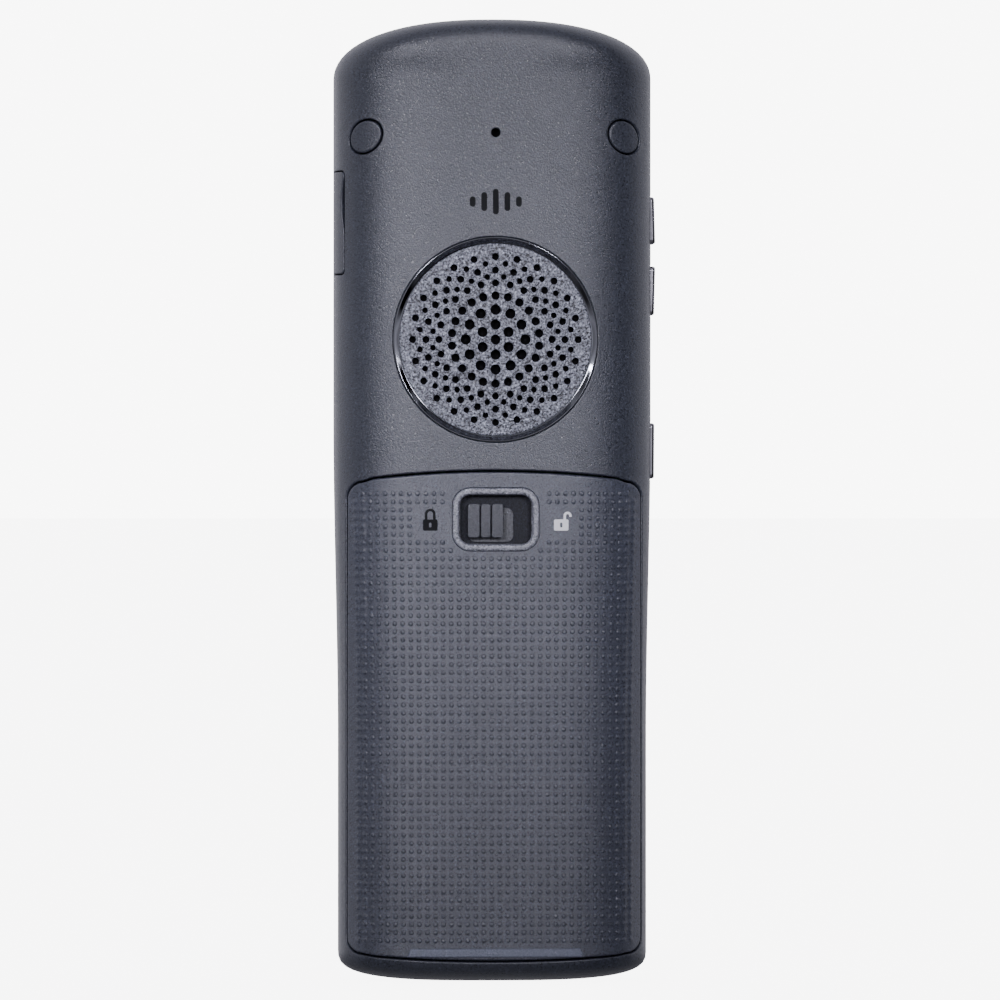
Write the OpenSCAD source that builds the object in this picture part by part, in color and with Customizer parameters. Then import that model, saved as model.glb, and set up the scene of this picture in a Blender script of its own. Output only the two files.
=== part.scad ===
// Cordless phone handset, standing on its foot: +Z runs up to the earpiece end,
// the display and keypad face -Y, and the loudspeaker and battery cover face +Y.

/* [Housing] */
// Length from the foot to the top of the arch
body_len = 158.4; // [154:0.2:164]
// Half of the width at the earpiece end
half_w_top = 26.15; // [25.8:0.05:26.6]
// Half of the width at the battery end
half_w_low = 25.4; // [25.1:0.05:25.8]
// Depth from the parting plane to the crown of the back
back_depth = 12.6; // [12.2:0.1:13]
// Depth from the parting plane to the front face
front_depth = 8.8; // [8.6:0.1:9.2]
// Where the parting plane between the two covers lies
part_y = -1.6; // [-1.8:0.1:-1.4]
// Wall of the rear cover
rear_wall = 1.8; // [1.6:0.1:1.9]
// Wall of the front cover
front_wall = 2; // [1.9:0.1:2.1]

/* [Loudspeaker] */
// Height of the grille's centre
grille_z = 105.5; // [105:0.5:106]
// Radius of the perforated disc
grille_r = 15.8; // [15.4:0.1:16]
// Width of the bright ring round the disc
ring_w = 1; // [0.8:0.1:1.2]
// Outer face of the disc
grille_y = 9.9; // [9.7:0.05:10]

/* [Battery cover] */
// Lowest point of the cover's bottom seam
door_bottom = 3.7; // [3.5:0.1:4]
// Highest point of the cover's top seam
door_top = 83.8; // [83.4:0.1:84]
// Half of the cover's width
door_half_w = 24.2; // [24:0.05:24.3]
// Wall of the battery cover
door_wall = 1.5; // [1.4:0.1:1.6]
// Open seam all round the cover
seam = 0.25; // [0.2:0.05:0.3]
// Height of the lock's centre
latch_z = 76; // [75.5:0.25:76.5]

/* [Keys] */
// How far the key tops stand out of the front face
key_proud = 0.6; // [0.5:0.05:0.8]
// Gap between a key and its window
key_gap = 0.2; // [0.15:0.05:0.25]
// Distance between the columns of the dial pad
column_pitch = 15; // [14.8:0.1:15.2]
// Distance between the rows of the dial pad
row_pitch = 11.4; // [11.2:0.1:11.6]
// How far the side keys stand out of the side
side_proud = 0.75; // [0.6:0.05:0.8]

/* [Hidden] */
$fn = 64;
far = 40;
front_y = part_y - front_depth;
crown_y = part_y + back_depth;
key_top_y = front_y - key_proud;

// Superellipse exponents of the back, the front and the two ends
back_n = 3;
front_n = 7;
top_n = 2.5;
foot_n = 3.2;
top_drop = 9;
top_arch = 1.2;
foot_drop = 5;
foot_flat = 0.12;
arc_steps = 14;

// Depth planes inside, from the front face to the back
front_in_y = front_y + front_wall;
lens_back_y = front_y + 1.2;
flange_y = front_in_y + 0.1;
flange_t = 0.6;
flange_w = 0.55;
board_front_y = -6.2;
board_back_y = -5.2;
bay_floor_y = 2.1;
door_edge_y = 3.4;

ring_r = grille_r + ring_w + 0.05;
mic_z = 139.8;
plug_x = 21.4;
plug_z = 138.8;
plug_r = 3;
plug_lean = 25;
plug_rise = 4;
jack_z = 129.2;
port_y = 2;
port_face_x = 22.9;
usb_z = 120.8;
flap_z0 = 116.2;
flap_z1 = 133.3;
flap_y0 = -0.9;
flap_y1 = 5.3;
flap_gap = 0.15;
flap_swing_gap = 0.3;

// Side keys: centre height, length, then how far the low and high end stand out
volume_up = [125.3, 7.8, side_proud, side_proud - 0.2];
volume_down = [113.7, 8.1, side_proud - 0.2, side_proud];
talk = [87.3, 9.2, side_proud - 0.15, side_proud - 0.15];
side_key_y = [-4.4, 1.4];
side_key_in_x = 22.5;

// Front keys: centre x, centre z, width, height, corner radius
dial_names = ["key_1", "key_2", "key_3", "key_4", "key_5", "key_6",
              "key_7", "key_8", "key_9", "key_star", "key_0", "key_hash"];
dial_top_z = 56.5;
dial_size = [12.4, 8.2, 2.6];
soft_keys = [[-14.6, 85.2, 11, 4.6, 1.8], [14.6, 85.2, 11, 4.6, 1.8]];
call_keys = [[-16.2, 72.6, 9.4, 8.6, 2.8], [16.2, 72.6, 9.4, 8.6, 2.8]];
nav_z = 75.2;
nav_r = 9.2;
nav_in_r = 4.7;
ok_r = 4.1;
lens_half_w = 20.6;
lens_z = [93.2, 152.2];
lens_corner = 3.2;
earpiece_z = 147.6;
screw_xz = [[-20.6, 80], [20.6, 80], [-20.6, 9.5], [20.6, 9.5]];
battery = [34, 5.5, 61];
battery_z = 7.2;

// Grip rib across the foot of the battery cover
rib_w = 29;
rib_z = [4.25, 5.65];
rib_proud = 0.3;

// Lock: the cup's outline, its depth planes, and the slider in the locked place
bezel_size = [14.2, 10.3];
bezel_r = 2.1;
bezel_lip = 1;
bezel_back_y = 8.2;
bezel_top_y = crown_y + 0.35;
well_size = [11.2, 7.9];
well_floor_y = 8.9;
grip_x = [-1.25, 4.65];
slide_x = [-2.6, 5.4];
bolt_x = [-2.6, 9.5];
plate_x = 8;

// Rings of holes: count, radius of the ring, diameter, angle of the first hole
hole_rings = [[1, 0, 1.65, 0], [6, 2.47, 1.68, 30], [12, 4.9, 1.7, 0], [22, 7.22, 1.38, 90],
              [24, 9.28, 1.16, 0], [24, 10.35, 0.94, 7.5], [24, 11.4, 1.15, 0],
              [24, 12.5, 0.95, 7.5], [24, 13.6, 1.15, 0]];

// ---------- outlines ----------

function smooth(u) = let (c = max(0, min(1, u))) c * c * (3 - 2 * c);

// Half width of the plan at height z: the sides draw in towards the foot
function half_w(z) = half_w_low + (half_w_top - half_w_low) * smooth((z - 40) / 52);

// Quarter superellipse as [across, along], from the middle out to the side
function quarter(a, b, n) =
    [for (i = [0:arc_steps]) let (t = 90 * i / arc_steps)
        [a * pow(sin(t), 2 / n), b * pow(cos(t), 2 / n)]];

function mirrored(points) = [for (i = [len(points) - 1:-1:0]) [-points[i][0], points[i][1]]];

function backwards(points) = [for (i = [len(points) - 1:-1:0]) points[i]];

// Cross-section across the length, inset by t
function section_points(t) = let (
        back = [for (p = quarter(half_w_top - t, back_depth - t, back_n)) [p[0], part_y + p[1]]],
        front = [for (p = quarter(half_w_top - t, front_depth - t, front_n)) [p[0], part_y - p[1]]],
        last = arc_steps)
    concat([for (i = [0:last]) back[i]],
           [for (i = [last - 1:-1:0]) front[i]],
           [for (i = [1:last]) [-front[i][0], front[i][1]]],
           [for (i = [last - 1:-1:1]) [-back[i][0], back[i][1]]]);

// Plan seen from the back, inset by t: a flat foot, drawn-in sides and an arched top
function plan_half(t) = let (
        foot = [for (p = quarter(half_w_low - t, foot_drop - t, foot_n))
            [p[0], max(0, foot_drop - t - p[1] - foot_flat) + t]],
        side = [for (z = [42:10:92]) [half_w(z) - t, z]],
        top = [for (p = quarter(half_w_top - t, top_drop - t, top_n))
            [p[0], body_len - top_drop + p[1]
                - top_arch * pow(p[0] / (half_w_top - t), 2)]])
    concat([for (i = [1:arc_steps]) foot[i]], side, backwards(top));

module plan(t) {
    right = plan_half(t);
    polygon(concat(right, [for (p = mirrored(right)) if (p[0] < -0.001) p]));
}

// Side view, inset by t, with each end rounded over
function corner(y, z, ry, rz, from) =
    [for (i = [0:6]) let (a = from + 15 * i) [y + ry * cos(a), z + rz * sin(a)]];

module profile(t) {
    polygon(concat(
        corner(crown_y - 5, body_len - 2.6, 5 - t, 2.6 - t, 0),
        corner(front_y + 3.4, body_len - 2.6, 3.4 - t, 2.6 - t, 90),
        corner(front_y + 3.4, 2.4, 3.4 - t, 2.4 - t, 180),
        corner(crown_y - 6, 4.2, 6 - t, 4.2 - t, 270)));
}

function rounded(w, h, r) = let (steps = 6)
    [for (q = [0:3], i = [0:steps])
        let (a = 90 * q + 90 * i / steps,
             sx = (q == 0 || q == 3) ? 1 : -1,
             sz = q < 2 ? 1 : -1)
        [sx * (w / 2 - r) + r * cos(a), sz * (h / 2 - r) + r * sin(a)]];

// Outline of the battery cover, grown by g
module door_outline(g) {
    w = door_half_w + g;
    top_r = 2.6;
    foot_r = 2.4;
    top_side_z = door_top - 1.7 + g;
    foot_side_z = door_bottom + 1.1 - g;
    right = concat(
        [for (x = [0:4:20]) [x, door_bottom - g + 1.1 * pow(x / w, 2)]],
        [for (i = [0:5]) let (a = -90 + 18 * i)
            [w - foot_r + foot_r * cos(a), foot_side_z + foot_r + foot_r * sin(a)]],
        [for (i = [0:5]) let (a = 18 * i)
            [w - top_r + top_r * cos(a), top_side_z - top_r + top_r * sin(a)]],
        [for (x = [20:-4:0]) [x, door_top + g - 1.7 * pow(x / w, 2)]]);
    polygon(concat(right, [for (p = mirrored(right)) if (p[0] < -0.001) p]));
}

// ---------- directions ----------

// A plan shape, drawn as [x, z], stretched from y0 to y1
module along_y(y0, y1) {
    translate([0, y1, 0]) rotate([90, 0, 0]) linear_extrude(y1 - y0) children();
}

// A side view, drawn as [y, z], stretched from x0 to x1
module along_x(x0, x1) {
    translate([x0, 0, 0]) rotate([90, 0, 90]) linear_extrude(x1 - x0) children();
}

module rod_y(r, y0, y1, x = 0, z = 0) {
    translate([x, y1, z]) rotate([90, 0, 0]) cylinder(r = r, h = y1 - y0);
}

module block(from, to) {
    translate(from) cube(to - from);
}

// A solid turned about a line along Y, drawn as [radius, y]
module turned(x, z) {
    translate([x, 0, z]) rotate([-90, 0, 0]) rotate_extrude() children();
}

// ---------- housing ----------

module section_prism(t, z0, z1) {
    translate([0, 0, z0]) linear_extrude(z1 - z0) polygon(section_points(t));
}

// The whole outer form, inset by t, between two depths
module housing(t, y0, y1) {
    intersection() {
        section_prism(t, -1, body_len + 1);
        along_y(y0, y1) plan(t);
        along_x(-far, far) profile(t);
    }
}

// Points the children's +Z out of the plug's socket: side 1 is at +X, side -1 at -X
module at_plug(side) {
    surface_y = part_y + back_depth * pow(1 - pow(plug_x / half_w_top, back_n), 1 / back_n);
    translate([side * plug_x, surface_y, plug_z])
        rotate([0, 90 - plug_rise, 90 - side * plug_lean]) children();
}

module side_window(key) {
    block([-far, side_key_y[0] - 0.12, key[0] - key[1] / 2 - 0.12],
          [-22, side_key_y[1] + 0.12, key[0] + key[1] / 2 + 0.12]);
}

module side_windows() {
    side_window(volume_up);
    side_window(volume_down);
    side_window(talk);
}

module rear_cover() {
    color([0.2, 0.21, 0.23])
    difference() {
        housing(0, part_y, far);
        housing(rear_wall, part_y - 1, far);
        along_y(door_edge_y - 0.2, far) door_outline(seam);
        rod_y(ring_r + 0.05, 4, far, 0, grille_z);
        rod_y(0.75, 4, far, 0, mic_z);
        for (side = [-1, 1]) at_plug(side) translate([0, 0, -6]) cylinder(r = plug_r + 0.05, h = 12);
        side_windows();
        block([20, flap_y0, flap_z0], [far, flap_y1, flap_z1]);
    }
}

module key_window(k, grow) {
    translate([k[0], k[1]]) polygon(rounded(k[2] + 2 * grow, k[3] + 2 * grow, k[4] + grow));
}

function dial_key(i) = [(i % 3 - 1) * column_pitch, dial_top_z - floor(i / 3) * row_pitch,
                        dial_size[0], dial_size[1], dial_size[2]];

module key_windows(grow) {
    for (i = [0:11]) key_window(dial_key(i), grow);
    for (k = concat(soft_keys, call_keys)) key_window(k, grow);
}

module lens_outline(grow) {
    height = lens_z[1] - lens_z[0];
    translate([0, (lens_z[0] + lens_z[1]) / 2])
        polygon(rounded(2 * (lens_half_w + grow), height + 2 * grow, lens_corner + grow));
}

module front_cover() {
    color([0.17, 0.18, 0.2])
    difference() {
        union() {
            difference() {
                housing(0, -far, part_y);
                housing(front_wall, -far, part_y + 1);
            }
            for (p = screw_xz) rod_y(2.1, front_in_y - 0.5, bay_floor_y - 1.05, p[0], p[1]);
        }
        side_windows();
        along_y(-far, lens_back_y) lens_outline(0.1);
        block([-17.6, -far, 98], [17.6, part_y, 142.5]);
        block([-7, -far, earpiece_z - 1.6], [7, part_y, earpiece_z + 1.6]);
        along_y(-far, part_y) key_windows(key_gap);
        along_y(flange_y - 0.1, part_y) key_windows(flange_w + key_gap);
        rod_y(nav_r + 0.35, -far, part_y, 0, nav_z);
        rod_y(0.5, -far, part_y, 0, 6.4);
        for (p = screw_xz) rod_y(0.8, -7.4, bay_floor_y, p[0], p[1]);
        for (side = [-1, 1]) block([side * 8 - 2.6, -6.9, -1], [side * 8 + 2.6, -3.9, 3]);
    }
}

// ---------- display and earpiece ----------

module display_lens() {
    color([0.03, 0.03, 0.04])
    difference() {
        intersection() {
            section_prism(0.05, lens_z[0] - 1, lens_z[1] + 1);
            along_y(-far, lens_back_y - 0.02) lens_outline(0);
        }
        along_y(-far, 0) translate([0, earpiece_z]) polygon(rounded(11.6, 1.7, 0.84));
    }
}

module display_module() {
    color([0.1, 0.12, 0.14]) block([-17.4, lens_back_y + 0.02, 98.2], [17.4, board_front_y - 0.1, 142.3]);
}

module earpiece_mesh() {
    color([0.3, 0.3, 0.32]) block([-6.8, lens_back_y + 0.02, earpiece_z - 1.4],
                                  [6.8, lens_back_y + 0.3, earpiece_z + 1.4]);
}

module earpiece_receiver() {
    color("silver")
    difference() {
        block([-6.6, lens_back_y + 0.5, earpiece_z - 1.5], [6.6, board_front_y - 0.1, earpiece_z + 1.5]);
        block([-5.4, lens_back_y, earpiece_z - 0.5], [5.4, lens_back_y + 0.9, earpiece_z + 0.5]);
    }
}

// ---------- chassis and electronics ----------

module inner_frame() {
    color([0.25, 0.26, 0.28])
    difference() {
        union() {
            block([-23.2, bay_floor_y - 1, 5.2], [23.2, bay_floor_y, 82]);
            for (side = [-1, 1])
                block([side * 18 - 0.6, bay_floor_y - 0.5, 5.6], [side * 18 + 0.6, 7, 70.4]);
            block([-18.5, bay_floor_y - 0.5, 69.4], [18.5, 6.4, 70.4]);
            block([-18.5, bay_floor_y - 0.5, 5.6], [18.5, 6.4, 6.8]);
        }
        for (p = screw_xz) rod_y(1.05, -2, 5, p[0], p[1]);
        block([-5.3, 2.9, 68], [5.3, 6, 71]);
    }
}

module main_board() {
    color("darkgreen")
    difference() {
        block([-21.8, board_front_y, 5], [21.8, board_back_y, 150]);
        for (p = screw_xz) rod_y(2.4, -8, 0, p[0], p[1]);
    }
}

module rf_shield() {
    color("silver")
    difference() {
        block([-15, board_back_y, 94], [8, board_back_y + 2, 116]);
        block([-14.7, board_back_y - 0.1, 94.3], [7.7, board_back_y + 1.7, 115.7]);
    }
}

module board_chips() {
    color([0.08, 0.08, 0.09])
    for (c = [[-8, 66, 11, 11], [9, 62, 8, 8], [-10, 46, 6, 9], [6, 44, 12, 6],
              [-4, 28, 9, 7], [12, 26, 5, 5], [-15, 124, 7, 7], [2, 130, 9, 6]])
        block([c[0] - c[2] / 2, board_back_y, c[1] - c[3] / 2],
              [c[0] + c[2] / 2, board_back_y + 1, c[1] + c[3] / 2]);
}

module antenna() {
    color("goldenrod") block([-14, -4, 150.6], [14, -3.6, 154]);
}

module keypad_mat() {
    color([0.55, 0.56, 0.58])
    difference() {
        block([-21.6, -7.15, 14], [21.6, -6.5, 89]);
        rod_y(3.2, -8, -6, 0, nav_z);
        for (p = [screw_xz[0], screw_xz[1]]) rod_y(2.4, -8, 0, p[0], p[1]);
    }
}

module key_domes() {
    color("gainsboro") {
        for (i = [0:11]) rod_y(2, -6.44, board_front_y, dial_key(i)[0], dial_key(i)[1]);
        for (k = concat(soft_keys, call_keys)) rod_y(2, -6.44, board_front_y, k[0], k[1]);
    }
}

module main_microphone() {
    color("silver") rod_y(1.6, -7.9, board_front_y, 0, 7.6);
}

module rear_microphone() {
    color("silver") rod_y(2, 7.4, 9, 0, mic_z);
}

module vibrator_motor() {
    color("silver") translate([-19, 0, 142]) rotate([0, 90, 0]) {
        cylinder(r = 2, h = 8);
        translate([0, 0, 7.9]) cylinder(r = 0.3, h = 3.9);
    }
}

module vibrator_weight() {
    color("gray") translate([-10.6, 0, 142]) rotate([0, 90, 0])
    difference() {
        intersection() {
            cylinder(r = 2, h = 2.8);
            translate([-0.9, -3, -1]) cube([6, 6, 5]);
        }
        translate([0, 0, -1]) cylinder(r = 0.35, h = 6);
    }
}

// ---------- loudspeaker ----------

module speaker_grille() {
    color([0.3, 0.31, 0.33])
    along_y(grille_y - 1, grille_y) translate([0, grille_z]) difference() {
        circle(r = grille_r);
        for (ring = hole_rings, i = [0:ring[0] - 1]) let (a = ring[3] + 360 * i / ring[0])
            translate([ring[1] * cos(a), ring[1] * sin(a)]) circle(d = ring[2], $fn = 24);
    }
}

module speaker_ring() {
    color([0.75, 0.76, 0.78])
    intersection() {
        turned(0, grille_z) polygon([[grille_r - 0.8, grille_y - 1.8], [ring_r, grille_y - 1.8],
            [ring_r, crown_y + 1], [ring_r - 0.2, crown_y + 1], [grille_r + 0.05, grille_y],
            [grille_r + 0.05, grille_y - 1.05], [grille_r - 0.8, grille_y - 1.05]]);
        section_prism(-0.12, grille_z - 20, grille_z + 20);
    }
}

module speaker_mesh() {
    color([0.05, 0.05, 0.05]) rod_y(14.8, grille_y - 1.25, grille_y - 1.05, 0, grille_z);
}

module speaker_frame() {
    color("dimgray")
    turned(0, grille_z) polygon([[14.2, 8.5], [14.2, 7.2], [12.6, 7.2], [9.4, 4.6], [9.4, 1.4],
        [8.8, 1.4], [8.8, 5.1], [12, 7.7], [13, 7.7], [13, 8.5]]);
}

module speaker_cone() {
    color([0.1, 0.1, 0.1])
    turned(0, grille_z) polygon([[0, 6.5], [3.2, 6], [12.3, 8.4], [12.9, 8.4], [12.9, 8.1],
        [12.3, 8.1], [3.4, 5.6], [3.4, 5], [3, 5], [3, 5.6], [0, 6.1]]);
}

module speaker_magnet() {
    color("darkgray")
    turned(0, grille_z) polygon([[0, 1.6], [8.7, 1.6], [8.7, 4.6], [4, 4.6], [4, 3],
        [2.6, 3], [2.6, 5.4], [0, 5.4]]);
}

// ---------- sockets and side keys ----------

module headset_jack() {
    color([0.06, 0.06, 0.07])
    difference() {
        block([11, port_y - 2.7, jack_z - 2.9], [port_face_x, port_y + 2.7, jack_z + 2.9]);
        translate([11.5, port_y, jack_z]) rotate([0, 90, 0]) cylinder(r = 1.8, h = 20);
    }
}

module data_socket() {
    color("silver")
    difference() {
        block([15, port_y - 1.45, usb_z - 3.8], [port_face_x, port_y + 1.45, usb_z + 3.8]);
        block([16, port_y - 1.1, usb_z - 3.45], [far, port_y + 1.1, usb_z + 3.45]);
    }
}

module jack_cover() {
    skin = 1.2;
    color([0.14, 0.15, 0.17])
    intersection() {
        difference() {
            section_prism(-0.12, flap_z0, flap_z1);
            section_prism(skin, flap_z0 - 1, flap_z1 + 1);
        }
        block([20, flap_y0 + flap_gap, flap_z0 + flap_gap], [far, flap_y1 - flap_gap, flap_z1 - flap_swing_gap]);
    }
}

module side_key(key) {
    half = key[1] / 2;
    low = half_w_top + key[2];
    high = half_w_top + key[3];
    color([0.13, 0.14, 0.16])
    intersection() {
        union() {
            along_y(side_key_y[0], side_key_y[1]) translate([0, key[0]])
                polygon([[-side_key_in_x, -half], [-low + 0.5, -half], [-low, -half + 0.7],
                         [-high, half - 0.7], [-high + 0.5, half], [-side_key_in_x, half]]);
            block([-23, side_key_y[0], key[0] - half - 0.7],
                  [-side_key_in_x, side_key_y[1], key[0] + half + 0.7]);
        }
        section_prism(-side_proud, key[0] - 10, key[0] + 10);
    }
}

module side_key_board() {
    color([0.5, 0.35, 0.1]) {
        block([-21.25, side_key_y[0], 84], [-20.85, side_key_y[1], 131]);
        for (key = [volume_up, volume_down, talk])
            block([-22.05, side_key_y[0] + 1.4, key[0] - 1.8], [-21.25, side_key_y[1] - 1.4, key[0] + 1.8]);
    }
}

module clip_plug(side) {
    color([0.2, 0.21, 0.23])
    intersection() {
        at_plug(side) translate([0, 0, -2.6]) cylinder(r = plug_r, h = 8);
        section_prism(0, plug_z - 10, plug_z + 10);
    }
}

// ---------- power ----------

module battery_pack() {
    color([0.16, 0.2, 0.3])
    block([-battery[0] / 2, bay_floor_y + 0.1, battery_z],
          [battery[0] / 2, bay_floor_y + 0.1 + battery[1], battery_z + battery[2]]);
}

module battery_terminals() {
    color("goldenrod") {
        block([-5, 3, 68.9], [5, 5.8, 70.2]);
        for (x = [-3.4, 0, 3.4]) block([x - 0.6, 3.6, 68.3], [x + 0.6, 5.2, 68.9]);
    }
}

module charge_contacts() {
    color("gold")
    for (side = [-1, 1]) block([side * 8 - 2.5, -6.8, 0.25], [side * 8 + 2.5, -4, 1.4]);
}

module case_screws() {
    color("silver")
    for (p = screw_xz) {
        rod_y(0.75, -5, bay_floor_y + 0.2, p[0], p[1]);
        rod_y(1.6, bay_floor_y + 0.02, bay_floor_y + 1.1, p[0], p[1]);
    }
}

// ---------- battery cover and its lock ----------

module battery_door() {
    color([0.19, 0.2, 0.22]) {
        difference() {
            intersection() {
                housing(0, door_edge_y, far);
                along_y(0, far) door_outline(0);
            }
            housing(door_wall, 0, far);
            along_y(0, far) bezel_outline(0.05);
        }
        intersection() {
            housing(-rib_proud, door_edge_y, far);
            along_y(9.2, far) polygon([[-rib_w / 2, rib_z[0]], [rib_w / 2, rib_z[0]],
                [rib_w / 2 - 0.6, rib_z[1]], [-rib_w / 2 + 0.6, rib_z[1]]]);
        }
        for (side = [-1, 1]) {
            block([side * 12 - 2.5, 7, door_bottom + 0.3], [side * 12 + 2.5, 9.7, door_bottom + 1.5]);
            block([side * 12 - 2.5, 7, 2.8], [side * 12 + 2.5, 7.8, door_bottom + 0.4]);
        }
    }
}

module bezel_outline(grow) {
    translate([0, latch_z])
        polygon(rounded(bezel_size[0] + 2 * grow, bezel_size[1] + 2 * grow, bezel_r + grow));
}

// A cup through the cover, held from behind by its lip, with a slot in its floor
module latch_bezel() {
    color([0.32, 0.34, 0.36])
    difference() {
        union() {
            along_y(bezel_back_y, bezel_top_y) bezel_outline(0);
            along_y(bezel_back_y, bezel_back_y + 1.05) bezel_outline(bezel_lip);
        }
        along_y(well_floor_y, far) translate([0, latch_z]) polygon(rounded(well_size[0], well_size[1], 1.2));
        block([-4.3, 8, latch_z - 1.1], [4.3, 10, latch_z + 1.1]);
    }
}

module latch_slider() {
    color([0.2, 0.21, 0.23])
    difference() {
        union() {
            block([slide_x[0], well_floor_y + 0.05, latch_z - 3.3], [slide_x[1], 9.5, latch_z + 3.3]);
            block([grip_x[0], 9.4, latch_z - 2.8], [grip_x[1], crown_y - 0.2, latch_z + 2.8]);
            block([-0.7, 7.9, latch_z - 0.95], [4.1, 9.2, latch_z + 0.95]);
            block([bolt_x[0], 7.4, latch_z - 2.4], [bolt_x[1], 8.05, latch_z + 2.4]);
        }
        for (x = [0.85, 2.65]) block([x - 0.15, crown_y - 0.7, latch_z - 4], [x + 0.15, far, latch_z + 4]);
    }
}

// The channel that the bolt runs in
module latch_plate() {
    color("silver")
    difference() {
        block([-plate_x, 6.9, latch_z - 3.4], [plate_x, bezel_back_y, latch_z + 3.4]);
        block([-far, 7.25, latch_z - 2.6], [far, far, latch_z + 2.6]);
    }
}

// ---------- front keys ----------

// A key cap in its window, with a flange behind the cover that keeps it in
module front_key(k, tint) {
    color(tint) {
        along_y(key_top_y, flange_y + 0.05) key_window(k, 0);
        along_y(flange_y, flange_y + flange_t) key_window(k, flange_w);
    }
}

module nav_plunger() {
    color([0.55, 0.56, 0.58]) rod_y(2.8, -7.2, -6.5, 0, nav_z);
}

module nav_ring() {
    color([0.6, 0.61, 0.63])
    turned(0, nav_z) polygon([[nav_in_r, key_top_y + 0.3], [nav_in_r + 0.8, key_top_y], [nav_r - 0.8, key_top_y],
        [nav_r, key_top_y + 0.5], [nav_r, flange_y - 0.1], [nav_r - 0.6, flange_y + 0.3], [nav_in_r, flange_y + 0.3]]);
}

module ok_key() {
    color([0.12, 0.13, 0.14]) rod_y(ok_r, key_top_y + 0.1, flange_y + 0.4, 0, nav_z);
}

// ---------- nodes ----------

rear_cover();
front_cover();
display_lens();
display_module();
earpiece_mesh();
earpiece_receiver();
inner_frame();
main_board();
rf_shield();
board_chips();
antenna();
keypad_mat();
key_domes();
speaker_grille();
speaker_ring();
speaker_mesh();
speaker_frame();
speaker_cone();
speaker_magnet();
rear_microphone();
main_microphone();
headset_jack();
data_socket();
side_key_board();
battery_pack();
battery_terminals();
charge_contacts();
case_screws();
vibrator_motor();
vibrator_weight();
battery_door();
latch_bezel();
latch_plate();
latch_slider();
clip_plug(1);  // clip_plug_left
clip_plug(-1);  // clip_plug_right
jack_cover();
side_key(volume_up);  // volume_up_key
side_key(volume_down);  // volume_down_key
side_key(talk);  // talk_key
front_key(soft_keys[0], "gray");  // soft_key_left
front_key(soft_keys[1], "gray");  // soft_key_right
front_key(call_keys[0], "green");  // call_key
front_key(call_keys[1], "firebrick");  // end_key
nav_plunger();
nav_ring();
ok_key();
for (i = [0:11])
    front_key(dial_key(i), "dimgray");
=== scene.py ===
"""Looks of a cordless phone handset, built round its CAD frame. Lengths are in millimetres until mesh()."""
import math

import bmesh
import bpy
import numpy as np
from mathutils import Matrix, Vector
from mathutils.geometry import delaunay_2d_cdt


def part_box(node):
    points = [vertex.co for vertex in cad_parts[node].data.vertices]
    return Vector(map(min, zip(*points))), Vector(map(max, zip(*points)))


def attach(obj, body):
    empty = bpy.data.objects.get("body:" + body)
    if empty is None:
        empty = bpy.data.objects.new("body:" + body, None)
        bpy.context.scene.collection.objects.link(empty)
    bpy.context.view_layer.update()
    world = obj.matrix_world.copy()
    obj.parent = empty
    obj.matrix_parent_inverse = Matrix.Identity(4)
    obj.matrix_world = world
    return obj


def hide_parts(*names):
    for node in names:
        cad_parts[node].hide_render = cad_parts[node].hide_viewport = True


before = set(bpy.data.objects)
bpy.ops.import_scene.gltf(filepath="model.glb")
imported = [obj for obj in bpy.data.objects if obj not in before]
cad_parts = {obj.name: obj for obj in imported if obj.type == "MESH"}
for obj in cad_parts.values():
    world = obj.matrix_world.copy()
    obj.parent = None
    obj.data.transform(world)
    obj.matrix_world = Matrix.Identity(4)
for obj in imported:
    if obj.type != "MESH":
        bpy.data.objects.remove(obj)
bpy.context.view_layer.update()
MM = 0.001


def box_mm(node):
    """Lowest and highest corner of a CAD node, in millimetres."""
    low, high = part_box(node)
    return np.array(low) / MM, np.array(high) / MM


# ---------- sizes read from the frame ----------

rear_low, rear_high = box_mm("rear_cover")
front_low = box_mm("front_cover")[0]
LENGTH = rear_high[2]
HALF_TOP = rear_high[0]
NARROWING = 0.75
HALF_LOW = HALF_TOP - NARROWING
NARROW_Z, NARROW_RUN = 40, 52
PART_Y = rear_low[1]
CROWN_Y = rear_high[1]
BACK = CROWN_Y - PART_Y
FRONT = PART_Y - front_low[1]
WALL = 1.2

# ---------- the two moulded outer faces ----------

TOP_RUN, TOP_POWER, TOP_ARCH = 9.0, 2.5, 1.2
ARCH_REACH, ARCH_RUN = 16, 10
FOOT_RUN, FOOT_POWER = 5.0, 3.2
MIDDLE_T = 60


def smooth(u):
    u = np.clip(u, 0, 1)
    return u * u * (3 - 2 * u)


def half_width(z):
    """Half of the plan's width: the sides draw in towards the foot."""
    return HALF_LOW + (HALF_TOP - HALF_LOW) * smooth((z - NARROW_Z) / NARROW_RUN)


def quarter_curve(a, b, power_a, power_b):
    """Arc length, u and v along the quarter u ** power_a + v ** power_b = 1, from v = 1 to v = 0."""
    angle = np.linspace(0, math.pi / 2, 3001)
    across, along = np.sin(angle), np.cos(angle)
    low, high = np.zeros_like(angle), np.full_like(angle, 2 * (a + b))
    for _ in range(60):
        reach = (low + high) / 2
        inside = (reach * across / a) ** power_a + (reach * along / b) ** power_b < 1
        low, high = np.where(inside, reach, low), np.where(inside, high, reach)
    u, v = reach * across / a, reach * along / b
    steps = np.hypot(np.diff(u) * a, np.diff(v) * b)
    return np.concatenate([[0], np.cumsum(steps)]), u, v


def rest_of(power_ratio, v_power):
    """1 - (1 - v_power) ** power_ratio, exact for small v_power."""
    return -np.expm1(power_ratio * np.log1p(-np.minimum(v_power, 1 - 1e-15)))


def eased(share, way):
    """The share, kept rising up to the rim by a hair, so that no two points there meet."""
    hair, steepness = 0.002, 12
    return share * (1 - hair) + hair * np.clip(way, 0, 1) ** steepness


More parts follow.
